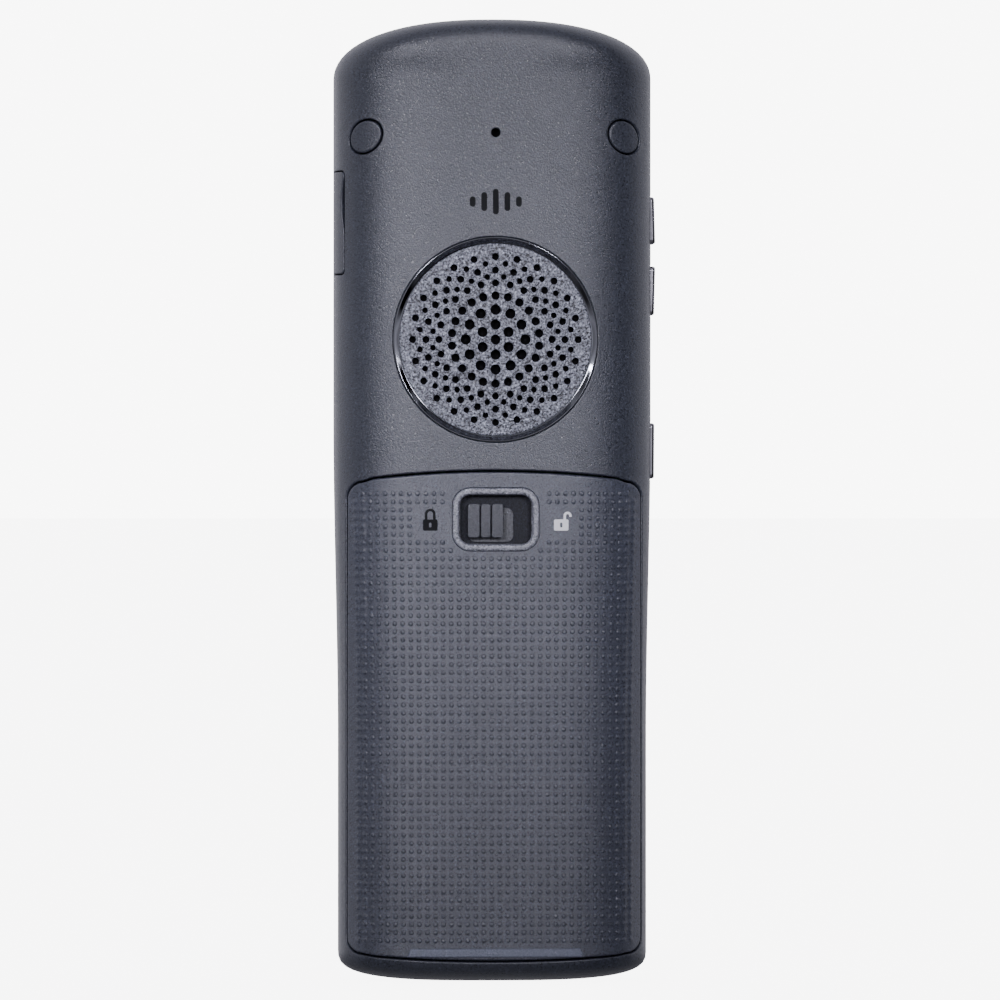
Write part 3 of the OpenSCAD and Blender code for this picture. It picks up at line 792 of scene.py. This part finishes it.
def plug_outline(side, gap):
    """A blanking plug's outline on the unrolled back: a little flattened, and leaning out at the bottom."""
    middle = back.unroll_x([(side * PLUG_X, PLUG_Z)])[0][0]
    loop = circle(0, 0, 1, 40) * (PLUG_R + gap, PLUG_R - PLUG_FLATTER + gap)
    return loop + np.stack([middle - side * PLUG_LEAN * loop[:, 1], np.full(len(loop), PLUG_Z)], axis=1)


def make_rear_cover():
    """The back shell, with the holes for all that sits in it."""
    holes = [
        (grown(door_outline(), SEAM), 0.22),
        (back.unroll_x(circle(0, GRILLE_Z, RING_R + 0.05, 96)), 0.15),
        (circle(0, MIC_Z, 0.75, 20), 0.12),
        (flap_outline(0), 0.18),
    ]
    holes += [(plug_outline(side, PLUG_GAP), 0.18) for side in (-1, 1)]
    build = shell(back, cover_outline(back), holes, radius=0.2)
    build.make("rear_cover_shell", "handset", "casing", casing_look, ("rear_cover",))


def make_plugs():
    for side, node in ((1, "clip_plug_left"), (-1, "clip_plug_right")):
        outline = plug_outline(side, -PLUG_GAP)
        build = shell(back, outline, [], wall=2.2, radius=0.28, spacing=0.7, inner_spacing=1.2)
        build.make(node + "_cap", node, "casing", casing_look, (node,))


def make_flap():
    outline = flap_outline(FLAP_GAP)
    build = shell(back, outline, [], wall=1.0, radius=0.2, spacing=0.8, lift=0.08, inner_spacing=2.0)
    build.make("jack_cover_skin", "jack_cover", "flap_rubber", flap_look, ("jack_cover",))


DOT_PITCH_S, DOT_PITCH_Z = 1.358, 1.332
DOT_R, DOT_HEIGHT = 0.42, 0.2
DOT_LOWEST_Z, DOT_ROWS = 6.97, 56
DOT_COLUMNS_EACH_SIDE = 18
DOT_FADE, DOT_LEAST = (18.5, 23.0), 0.35
DOT_RIM_ROOM, DOT_CUP_ROOM = 1.5, 1.2
SIGN_ZONE_X, SIGN_ZONE_Z = 13.4, 2.8


def dot_points(outline):
    """The moulded dots: each a base ring, two rings up its dome and a top, as (points, heights)."""
    rows = DOT_LOWEST_Z + np.arange(DOT_ROWS) * DOT_PITCH_Z
    columns = (np.arange(-DOT_COLUMNS_EACH_SIDE, DOT_COLUMNS_EACH_SIDE) + 0.5) * DOT_PITCH_S
    centres = np.array([(s, z) for z in rows for s in columns])
    centres = centres[inside(centres, grown(outline, -DOT_RIM_ROOM))]
    keep_out = grown(back.unroll_x(rounded(0, LATCH_Z, BEZEL_W, BEZEL_H, BEZEL_R)), DOT_CUP_ROOM)
    centres = centres[~inside(centres, keep_out)]
    sign_zone = (np.abs(centres[:, 0]) < SIGN_ZONE_X) & (np.abs(centres[:, 1] - LATCH_Z) < SIGN_ZONE_Z)
    centres = centres[~sign_zone]
    points, heights = [], []
    fade = np.interp(np.abs(centres[:, 0]), DOT_FADE, (1.0, DOT_LEAST))
    for radius, height, count in ((1.0, 0.0, 7), (0.76, 0.68, 7), (0.38, 0.95, 4), (0.0, 1.0, 1)):
        for dx, dz in circle(0, 0, radius * DOT_R, count):
            points.append(centres + (dx, dz))
            heights.append(height * DOT_HEIGHT * fade)
    return np.concatenate(points), np.concatenate(heights)


def make_door():
    outline = door_outline()
    hole = back.unroll_x(rounded(0, LATCH_Z, BEZEL_W + 0.1, BEZEL_H + 0.1, BEZEL_R + 0.05))
    build = shell(back, outline, [(hole, 0.1)], wall=DOOR_WALL, radius=0.3, loose=dot_points(outline))
    body, slot = "battery_cover", "cover_plastic"
    build.make("battery_door_skin", body, slot, cover_look, ("battery_door",), sharp=32)
    half_low, half_high, low, high = 14.5, 13.9, 4.25, 5.65
    corners = [(-half_low, low), (half_low, low), (half_high, high), (-half_high, high)]
    rib = back.unroll_x(fill_in(corners, 0.8))
    build = shell(back, rib, [], wall=0.4, radius=0.2, spacing=0.7, lift=0.25, inner_spacing=1.4,
                  margin=0.35)
    build.make("foot_rib", body, slot, rib_look)


def make_grille():
    """The domed disc. Each ring of holes has a count, a radius, a hole width and a first direction."""
    rows = ((1, 0, 1.65, 0), (6, 2.47, 1.68, 30), (12, 4.9, 1.7, 0), (22, 7.22, 1.38, 90),
            (24, 9.28, 1.16, 0), (24, 10.35, 0.94, 7.5), (24, 11.4, 1.15, 0), (24, 12.5, 0.95, 7.5),
            (24, 13.6, 1.15, 0))
    holes = []
    for count, reach, width, first in rows:
        for i in range(count):
            a = math.radians(first) + 2 * math.pi * i / count
            x, z = reach * math.cos(a), GRILLE_Z + reach * math.sin(a)
            holes.append((circle(x, z, width / 2, 14), 0.07))
    face = Domed(GRILLE_Y, GRILLE_RISE, GRILLE_Z, GRILLE_R)
    build = shell(face, circle(0, GRILLE_Z, GRILLE_R - 0.02, 96), holes, wall=1.0, radius=0.15, margin=0.3)
    build.make("speaker_grille_disc", "handset", "grille_metal", grille_look, ("speaker_grille",))


def make_ring():
    """The bright ring: its outer lip follows the curved back, its inner lip meets the flat disc."""
    rings = []
    profile = ((RING_R, -0.9, 0), (RING_R, 0.0, 0), (RING_R - 0.08, 0.1, 0), (RING_R - 0.2, 0.12, 0),
               (RING_R - 0.3, 0.08, 0), (GRILLE_R + 0.25, 0.0, 0.8), (GRILLE_R + 0.12, 0.0, 0.95),
               (GRILLE_R + 0.02, 0.02, 1), (GRILLE_R, -0.15, 1), (GRILLE_R, -0.9, 1))
    for radius, rise, flat in profile:
        loop = circle(0, GRILLE_Z, radius, 128)
        at = back.place(back.unroll_x(loop))
        at[:, 1] = (1 - flat) * at[:, 1] + flat * GRILLE_Y + rise
        rings.append(at)
    build = tube_solid(rings)
    build.make("speaker_ring_chrome", "handset", "ring_chrome", chrome_look, ("speaker_ring",), sharp=60)


NO_FILL = 1000


def box_loop(w, h, r, y, cx=0.0, cz=0.0):
    """A flat rounded rectangle with points at its corners only."""
    return level(rounded(cx, cz, w, h, r, step=NO_FILL), y)


def make_bezel():
    """The lock's cup: a coarse rounded rim over a well painted near-black as shade, whose floor has a slot
    for the bolt.
    """
    top, joint, foot = bezel_high[1], bezel_high[1] - 0.75, 8.25
    rim = [box_loop(BEZEL_W - 2 * i, BEZEL_H - 2 * i, BEZEL_R - i * 0.9, y, cz=LATCH_Z)
           for i, y in ((0, joint), (0, top - 0.28), (0.06, top - 0.14), (0.18, top - 0.05), (0.36, top),
                        (0.7, top), (0.86, top - 0.05), (0.98, top - 0.15), (1.06, top - 0.35))]
    rim.append(box_loop(WELL_W, WELL_H, WELL_R, joint, cz=LATCH_Z))
    build = tube_solid(rim)
    build.make("latch_bezel_rim", "battery_cover", "bezel_plastic", bezel_look, ("latch_bezel",), sharp=50)
    well = [box_loop(BEZEL_W, BEZEL_H, BEZEL_R, y, cz=LATCH_Z) for y in (foot, joint)]
    well += [box_loop(WELL_W, WELL_H, WELL_R, y, cz=LATCH_Z) for y in (joint, WELL_FLOOR_Y)]
    well += [box_loop(5.9, 2.2, 0.3, y, 0.65, LATCH_Z) for y in (WELL_FLOOR_Y, foot)]
    # The well's walls and floor are painted near-black: painted shade in the recess.
    tube_solid(well).make("latch_bezel_well", "battery_cover", "bezel_plastic", well_painted_shade_look, sharp=50)


def cushion(w, h, r, y_base, y_top, round_by, cx, cz, sign=1.0, turns=(0, 25, 50, 70, 90)):
    """A block's rings from its base over its rounded shoulder. sign is -1 if it faces the front."""
    rings = [box_loop(w, h, r, y_base, cx, cz)]
    for a in turns:
        turn = math.radians(a)
        inset = round_by * (1 - math.cos(turn))
        y = y_top - sign * round_by * (1 - math.sin(turn))
        rings.append(box_loop(w - 2 * inset, h - 2 * inset, max(r - inset, 0.05), y, cx, cz))
    return rings


def make_slider():
    """The finger pad: three rounded ribs on a wide low plate, with the bolt behind."""
    low, high = box_mm("latch_slider")
    top, base, pad_z = CROWN_Y - 0.2, 9.1, LATCH_Z - 0.2
    plate = rings_solid(cushion(7.4, 5.65, 1.2, WELL_FLOOR_Y + 0.05, base, 0.08, 0.7, LATCH_Z - 0.9))
    plate.make("latch_slider_plate", "latch", "latch_plastic", plate_look)
    build = Builder()

    def block(x0, x1, h, r, y0, y1, edge, cz=LATCH_Z):
        part = rings_solid(cushion(x1 - x0, h, r, y0, y1, edge, (x0 + x1) / 2, cz))
        ids = build.add(np.concatenate(part.points))
        build.faces += [tuple(ids[list(f)]) for f in part.faces]

    for x0, x1 in ((-1.26, 0.66), (0.82, 2.46), (2.62, 4.6)):
        block(x0, x1, 5.55, 0.42, base, top, 0.13, pad_z)
    block(-1.15, 4.5, 5.3, 0.3, base, top - 1.2, 0.1, pad_z)
    block(0.6, 3.4, 1.9, 0.2, 7.9, 9.0, 0.05)
    block(low[0], high[0], 4.8, 0.3, low[1], 8.05, 0.1)
    build.make("latch_slider_grip", "latch", "latch_plastic", slider_look, ("latch_slider",))


# ---------- signs ----------


def inlay(name, loop, body, slot, look, holes=(), spacing=0.5):
    """A thin printed figure on the curved back."""
    holes = [(back.unroll_x(h), 0.01) for h in holes]
    build = shell(back, back.unroll_x(loop), holes, wall=0.06, radius=0.015, spacing=spacing, lift=0.035,
                  inner_spacing=0.8, margin=0.4)
    build.make(name, body, slot, look, sharp=20)


def padlock(name, side, look, hub_shift, outer, inner, rise, open_by):
    """A padlock beside the lock. Its shackle stands on both feet, or has one lifted by open_by."""
    cx, cz, w, h = side * 10.75, LATCH_Z - 0.9, 2.4, 1.85
    body = rounded(cx, cz, w, h, 0.25, per_corner=3, step=0.5)
    keyhole = rounded(cx, cz, 0.4, 0.8, 0.18, per_corner=3, step=0.5)
    inlay(name + "_body", body, "battery_cover", "cover_plastic", look, holes=[keyhole], spacing=0.4)
    hub_x, foot_z = cx + hub_shift, cz + h / 2 - 0.02
    free_foot, hub_z = foot_z + open_by, foot_z + rise
    loop = [(hub_x + outer, foot_z), *arc(hub_x, hub_z, outer, outer, 0, 180, 12)]
    loop += [(hub_x - outer, free_foot), (hub_x - inner, free_foot)]
    loop += [*arc(hub_x, hub_z, inner, inner, 180, 0, 12), (hub_x + inner, foot_z)]
    loop = [p for p, q in zip(loop, loop[1:] + loop[:1]) if math.dist(p, q) > 0.01]
    inlay(name + "_shackle", fill_in(loop, 0.4), "battery_cover", "cover_plastic", look, spacing=0.3)


def make_signs():
    """Five bars for sound above the grille, and a shut and an open padlock beside the lock."""
    bar_w, pitch, centre_z = 0.95, 1.9, 128.1
    for i, height in enumerate((1.7, 3.1, 4.2, 3.1, 1.7)):
        loop = rounded((i - 2) * pitch, centre_z, bar_w, height, bar_w / 2 - 0.02, per_corner=5, step=0.5)
        inlay(f"sound_bar_{i + 1}", loop, "handset", "casing", sign_look)
    padlock("padlock_shut", 1, sign_look, 0, 0.88, 0.46, 0.9, 0)
    padlock("padlock_open", -1, foil_light_look, -1.05, 0.67, 0.26, 0.62, 0.42)


# ---------- side keys ----------


def make_side_keys():
    """Each key leans out towards its neighbour; its outer face follows the side's curve."""
    base_x = -23.0
    profile = ((0, None), (0, 0.45), (0.06, 0.22), (0.18, 0.07), (0.36, 0.0), (0.8, 0.0), (1.3, 0.06),
               (1.8, 0.09))
    leans = {"volume_up_key": (0.75, 0.55), "volume_down_key": (0.55, 0.75), "talk_key": (0.6, 0.6)}
    for node in SIDE_KEYS:
        low, high = box_mm(node)
        cy, cz = (low[1] + high[1]) / 2, (low[2] + high[2]) / 2
        w, h = high[1] - low[1], high[2] - low[2] - 2 * SIDE_FLANGE
        out_low, out_high = leans[node]
        rings = []
        for inset, sink in profile:
            corner = max(0.75 - inset * 0.6, 0.25)
            loop = rounded(cy, cz, w - 2 * inset, h - 2 * inset, corner, per_corner=5, step=NO_FILL)
            if sink is None:
                x = np.full(len(loop), base_x)
            else:
                rel = (loop[:, 0] - PART_Y) / np.where(loop[:, 0] > PART_Y, BACK, FRONT)
                power = np.where(loop[:, 0] > PART_Y, back.power, front.power)
                side = half_width(loop[:, 1]) * (1 - np.abs(rel) ** power) ** (1 / power)
                share = np.clip((loop[:, 1] - (cz - h / 2)) / h, 0, 1)
                x = -(side + out_low + (out_high - out_low) * share - sink)
            rings.append(np.stack([x, loop[:, 0], loop[:, 1]], axis=1))
        build = rings_solid(rings)
        build.make(node + "_cap", node, "side_key_plastic", side_key_look, (node,), sharp=50)


# ---------- front of the handset ----------

KEY_FLANGE, KEY_GAP, PRINT_ROOM = 0.55, 0.2, 0.04
DIAL = {f"key_{d}": d for d in "1234567890"} | {"key_star": "*", "key_hash": "#"}
CORNER = {"soft_key_left": 1.8, "soft_key_right": 1.8, "call_key": 2.8, "end_key": 2.8}
KEYS = list(DIAL) + list(CORNER)
lens_low, lens_high = box_mm("display_lens")
LENS_Z, LENS_W, LENS_H = (lens_low[2] + lens_high[2]) / 2, 2 * lens_high[0], lens_high[2] - lens_low[2]
nav_low, nav_high = box_mm("nav_ring")
NAV_Z = (nav_low[2] + nav_high[2]) / 2
NAV_R = (nav_high[0] - nav_low[0]) / 2
OK_R = (box_mm("ok_key")[1][0] - box_mm("ok_key")[0][0]) / 2
EARPIECE_Z = 147.6


def key_plan(node):
    """Centre x and z, width, height and corner radius of a front key's cap."""
    low, high = box_mm(node)
    w, h = high[0] - low[0] - 2 * KEY_FLANGE, high[2] - low[2] - 2 * KEY_FLANGE
    return (low[0] + high[0]) / 2, (low[2] + high[2]) / 2, w, h, CORNER.get(node, 2.6)


def make_front_cover():
    """The front shell, with holes for the window, the keys, the microphone and the charging contacts."""
    holes = [(front.unroll_x(rounded(0, LENS_Z, LENS_W + 0.2, LENS_H + 0.2, 3.3)), 0.2)]
    for node in KEYS:
        x, z, w, h, r = key_plan(node)
        window = rounded(x, z, w + 2 * KEY_GAP, h + 2 * KEY_GAP, r + KEY_GAP)
        holes.append((front.unroll_x(window), 0.25))
    holes.append((front.unroll_x(circle(0, NAV_Z, NAV_R + 0.35, 72)), 0.3))
    holes.append((circle(0, 6.4, 0.5, 16), 0.1))
    contact_low, contact_high = box_mm("charge_contacts")
    near, far = front.t_at_foot(contact_high[1] + 0.1), front.t_at_foot(contact_low[1] - 0.1)
    for side in (-1, 1):
        slot = rounded(side * 8, (near + far) / 2, 5.2, abs(far - near), 0.4, per_corner=3)
        holes.append((slot, 0.12))
    build = shell(front, cover_outline(front), holes, radius=0.2, wall=1.4)
    build.make("front_cover_shell", "handset", "front_casing", front_look, ("front_cover",))


def make_window():
    """The window with its earpiece slot, and the unlit display as a faint area on it."""
    plate = front.unroll_x(rounded(0, LENS_Z, LENS_W, LENS_H, 3.2))
    slot = front.unroll_x(rounded(0, EARPIECE_Z, 11.6, 1.7, 0.84, step=0.6))
    build = shell(front, plate, [(slot, 0.12)], wall=1.1, radius=0.15, lift=-0.04, spacing=2.0)
    build.make("display_window", "handset", "display_window", window_look, ("display_lens",))
    low, high = box_mm("display_module")
    w, h = high[0] - low[0] - 1.5, high[2] - low[2] - 1.5
    glass = front.unroll_x(rounded(0, (low[2] + high[2]) / 2, w, h, 0.6))
    build = shell(front, glass, [], wall=0.08, radius=0.01, lift=-0.025, spacing=3.0)
    build.make("display_area", "handset", "display_panel", display_look, sharp=20)


def cap(node, look):
    """A front key's cap: straight sides, a rounded shoulder and a flat top, with room for its print."""
    x, z, w, h, r = key_plan(node)
    low, high = box_mm(node)
    top, shoulder = low[1] + PRINT_ROOM, 0.55
    rings = [box_loop(w + 2 * KEY_FLANGE, h + 2 * KEY_FLANGE, r + KEY_FLANGE, y, x, z)
             for y in (high[1], high[1] - 0.5)]
    rings += cushion(w, h, r, high[1] - 0.55, top, shoulder, x, z, -1.0, (0, 20, 40, 60, 75, 90))
    flat_w, flat_h, flat_r = w - 2 * shoulder, h - 2 * shoulder, r - shoulder
    rings += [box_loop(flat_w * share, flat_h * share, flat_r * share, top, x, z) for share in (0.7, 0.35)]
    slot = {"call_key": "call_green", "end_key": "end_red"}.get(node, "key_plastic")
    rings_solid(rings).make(node + "_cap", node, slot, look, (node,), sharp=50)
    return x, top, z


def raised(name, loops, y, body, slot, look, wall=0.05, lift=0.03, spacing=0.6):
    """Thin printed figures on a front key, from flat loops."""
    for i, loop in enumerate(loops):
        build = shell(Flat(y, -1), np.asarray(loop, float), [], wall=wall, radius=0.01, lift=lift,
                      spacing=spacing, inner_spacing=spacing, margin=0.4)
        build.make(f"{name}_{i + 1}", body, slot, look, sharp=20)


def digit(node, text, x, y, z):
    """A generic figure on a dial key, cut from the built-in font."""
    curve = bpy.data.curves.new(node + "_figure", "FONT")
    curve.body = text
    curve.size = 5.0 * MM
    curve.align_x = "CENTER"
    curve.align_y = "CENTER"
    curve.extrude = 0.03 * MM
    curve.resolution_u = 3
    temporary = bpy.data.objects.new(node + "_figure_curve", curve)
    data = bpy.data.meshes.new_from_object(temporary)
    bpy.data.objects.remove(temporary)
    points = np.array([v.co for v in data.vertices]) / MM
    lift = -1.6 if text == "*" else 0.0
    placed = np.stack([points[:, 0] + x, y - points[:, 2], points[:, 1] + z + lift], axis=1)
    faces = [tuple(f.vertices) for f in data.polygons]
    mesh(node + "_figure", placed, faces, node, "key_plastic", legend_look, sharp=30)
    bpy.data.meshes.remove(data)


def handset_sign(x, z, turn):
    """A curved receiver: an arch with two feet."""
    loop = arc(0, 0, 2.7, 2.0, 20, 160, 14)
    loop += [(-2.75, -0.5), (-1.35, -0.5), (-1.3, 0.45)]
    loop += arc(0, 0, 1.6, 1.15, 130, 50, 8)
    loop += [(1.3, 0.45), (1.35, -0.5), (2.75, -0.5)]
    c, s = math.cos(turn), math.sin(turn)
    return [(x + c * u - s * (v - 0.6), z + s * u + c * (v - 0.6)) for u, v in loop]


def nav_arrow(direction):
    """A small triangle on the ring, pointing out."""
    c, s, reach = math.cos(direction), math.sin(direction), 6.9
    tip = [(0.75, 0), (-0.35, 0.75), (-0.35, -0.75)]
    loop = [(reach * c + u * c - v * s, NAV_Z + reach * s + u * s + v * c) for u, v in tip]
    return fill_in(loop, 0.4)


def make_navigation():
    """The ring with its four arrows, and the key in its middle."""
    top, foot = nav_low[1], -8.1
    profile = ((NAV_R, foot), (NAV_R, top + 0.5), (NAV_R - 0.12, top + 0.2), (NAV_R - 0.5, top),
               (NAV_R - 1.1, top + 0.05), (6.9, top + 0.35), (5.5, top + 0.3), (5.0, top + 0.25),
               (4.75, top + 0.45), (4.7, foot))
    rings = [level(circle(0, NAV_Z, r, 72), y) for r, y in profile]
    tube_solid(rings).make("nav_ring_band", "nav_ring", "ring_plastic", ring_look, ("nav_ring",), sharp=45)
    arrows = [nav_arrow(math.pi / 2 * i) for i in range(4)]
    raised("nav_arrow", arrows, top + 0.36, "nav_ring", "key_plastic", sign_look, 0.1, 0.06, 0.5)
    profile = ((OK_R, foot + 0.05), (OK_R, top + 0.55), (OK_R - 0.1, top + 0.3), (OK_R - 0.4, top + 0.15),
               (OK_R - 1, top + 0.1), (1.5, top + 0.1))
    rings = [level(circle(0, NAV_Z, r, 48), y) for r, y in profile]
    rings_solid(rings).make("ok_key_cap", "ok_key", "key_plastic", key_look, ("ok_key",), sharp=45)
    raised("ok_key_sign", [circle(0, NAV_Z, 0.9, 20)], top + 0.1, "ok_key", "key_plastic", legend_look)


def make_keys():
    for node in KEYS:
        look = {"call_key": call_look, "end_key": end_look}.get(node, key_look)
        x, y, z = cap(node, look)
        if node in DIAL:
            digit(node, DIAL[node], x, y, z)
        elif node.startswith("soft"):
            dash = rounded(x, z, 4.0, 0.6, 0.28, per_corner=3)
            raised(node + "_sign", [dash], y, node, "key_plastic", legend_look)
        else:
            turn, slot = (math.radians(45), "call_green") if node == "call_key" else (0.0, "end_red")
            loops = [fill_in(handset_sign(x, z, turn), 0.6)]
            raised(node + "_sign", loops, y, node, slot, legend_look)


# ---------- what the cover hides, kept from the CAD frame ----------


def paint_inside():
    paint(frame_look, "inner_frame", "speaker_frame", "nav_plunger", edge=0.15)
    paint(board_look, "main_board")
    paint(steel_look, "rf_shield", "case_screws", "data_socket", "vibrator_motor", "key_domes", edge=0.06)
    paint(chip_look, "board_chips", "latch_plate", "earpiece_receiver", edge=0.08)
    paint(gold_look, "antenna", "battery_terminals", "charge_contacts", edge=0.06)
    paint(mat_look, "keypad_mat")
    paint(display_look, "display_module")
    # Painted shade: the meshes and the microphones are made near-black so that the holes over them read as
    # shaded.
    paint(gauze_and_hole_shade_look, "earpiece_mesh", "speaker_mesh", "rear_microphone", "main_microphone")
    paint(cone_look, "speaker_cone")
    paint(magnet_look, "speaker_magnet", "vibrator_weight")
    paint(socket_look, "headset_jack", edge=0.15)
    paint(flex_look, "side_key_board")
    paint(battery_look, "battery_pack", edge=0.4)


make_rear_cover()
make_plugs()
make_flap()
make_door()
make_grille()
make_ring()
make_bezel()
make_slider()
make_signs()
make_side_keys()
make_front_cover()
make_window()
make_keys()
make_navigation()
paint_inside()

# ---------- stage, light and camera ----------


def look_at(name, data, aim, offset):
    """Adds a lamp or camera at an offset from the point that it faces."""
    thing = bpy.data.objects.new(name, data)
    thing.location = aim + offset
    thing.rotation_euler = (aim - thing.location).to_track_quat("-Z", "Y").to_euler()
    bpy.context.scene.collection.objects.link(thing)
    return thing


SPOT_AIM_Z = 96  # millimetres
SPOT_AWAY, SPOT_UP, SPOT_SOFT = 0.95, 0.22, 0.08  # metres
SPOT_CONE = 13.5


def spot_light(name, direction, power):
    """A soft spot, brightest on the upper back, from a direction in degrees from +Y towards +X."""
    turn = math.radians(direction)
    data = bpy.data.lights.new(name, "SPOT")
    data.spot_size = math.radians(SPOT_CONE)
    data.spot_blend = 1.0
    data.shadow_soft_size = SPOT_SOFT
    data.energy = power
    data.color = STUDIO_COLOUR
    offset = Vector((SPOT_AWAY * math.sin(turn), SPOT_AWAY * math.cos(turn), SPOT_UP))
    look_at(name, data, Vector((0, PART_Y, SPOT_AIM_Z)) * MM, offset)


def make_stage():
    """A pale floor that lights nothing itself, so that undersides stay dark."""
    size = 40.0
    corners = [(-size, -size, 0), (size, -size, 0), (size, size, 0), (-size, size, 0)]
    data = bpy.data.meshes.new("floor")
    data.from_pydata(corners, [], [(0, 1, 2, 3)])
    data.materials.append(floor_look)
    floor = bpy.data.objects.new("floor", data)
    floor.visible_diffuse = False
    floor.visible_glossy = False
    bpy.context.scene.collection.objects.link(floor)


# How bright the studio is by compass direction, in degrees from +Y towards +X, from 0 to 1.
STUDIO_ROUND = ((-180, 0.75), (-100, 0.75), (-82, 0.5), (-66, 0.0), (-31, 0.0), (-21, 0.75), (-12, 0.95),
                (-4, 0.4), (4, 0.4), (12, 0.95), (24, 0.85), (38, 0.17), (56, 0.17), (72, 0.45), (96, 0.75),
                (180, 0.75))
# The same by height, from straight down (-1) to straight up (1).
STUDIO_UP = ((-1, 0.1), (-0.15, 0.14), (0.0, 0.5), (0.3, 0.44), (0.6, 0.4), (0.85, 0.36), (1, 0.25))
STUDIO_LIGHT = 2.9
STUDIO_COLOUR = (0.96, 0.95, 1.07)
BACKDROP_LIGHT = 8.5


def graded(tree, value, limit, stops):
    """A grey level that follows the stops while the value goes from -limit to limit."""
    node = tree.nodes.new("ShaderNodeValToRGB")
    elements = node.color_ramp.elements
    first, last = stops[0][0], stops[-1][0]
    elements[0].position, elements[1].position = 0, 1
    elements[0].color, elements[1].color = (stops[0][1],) * 3 + (1,), (stops[-1][1],) * 3 + (1,)
    for place, light in stops[1:-1]:
        elements.new((place - first) / (last - first)).color = (light,) * 3 + (1,)
    tree.links.new(spread(tree, value, -limit, limit, 0, 1), node.inputs["Fac"])
    return node.outputs["Color"]


def make_world():
    """A studio that is bright ahead and behind, dark to each side of the front, and dim below."""
    world = bpy.data.worlds.new("studio")
    world.use_nodes = True
    tree = world.node_tree
    place = tree.nodes.new("ShaderNodeTexCoord")
    parts = tree.nodes.new("ShaderNodeSeparateXYZ")
    tree.links.new(place.outputs["Generated"], parts.inputs["Vector"])
    turn = joined(tree, "ARCTAN2", parts.outputs["X"], parts.outputs["Y"])
    by_turn = graded(tree, turn, math.pi, STUDIO_ROUND)
    by_height = graded(tree, parts.outputs["Z"], 1, STUDIO_UP)
    light = joined(tree, "MULTIPLY", by_turn, by_height)
    studio, backdrop = tree.nodes["Background"], tree.nodes.new("ShaderNodeBackground")
    tree.links.new(spread(tree, light, 0, 1, 0, STUDIO_LIGHT), studio.inputs["Strength"])
    studio.inputs["Color"].default_value = (*STUDIO_COLOUR, 1)
    backdrop.inputs["Color"].default_value = (1, 1, 1, 1)
    backdrop.inputs["Strength"].default_value = BACKDROP_LIGHT
    seen = tree.nodes.new("ShaderNodeLightPath")
    choice = tree.nodes.new("ShaderNodeMixShader")
    tree.links.new(seen.outputs["Is Camera Ray"], choice.inputs["Fac"])
    tree.links.new(studio.outputs["Background"], choice.inputs[1])
    tree.links.new(backdrop.outputs["Background"], choice.inputs[2])
    tree.links.new(choice.outputs["Shader"], tree.nodes["World Output"].inputs["Surface"])
    bpy.context.scene.world = world


def make_light():
    make_world()
    spot_light("key_left", 21, 20)
    spot_light("key_right", -15, 15.5)


def make_camera():
    """Level with the middle of the handset, a little to its +X side, as the back was photographed."""
    data = bpy.data.cameras.new("camera")
    data.lens = 348.8
    data.clip_start, data.clip_end = 0.01, 100
    away, turn = 1.6, math.radians(2.8)
    offset = away * Vector((math.sin(turn), math.cos(turn), 0))
    bpy.context.scene.camera = look_at("camera", data, Vector((-1.3, PART_Y, 79.2)) * MM, offset)


make_stage()
make_light()
make_camera()
bpy.context.view_layer.update()
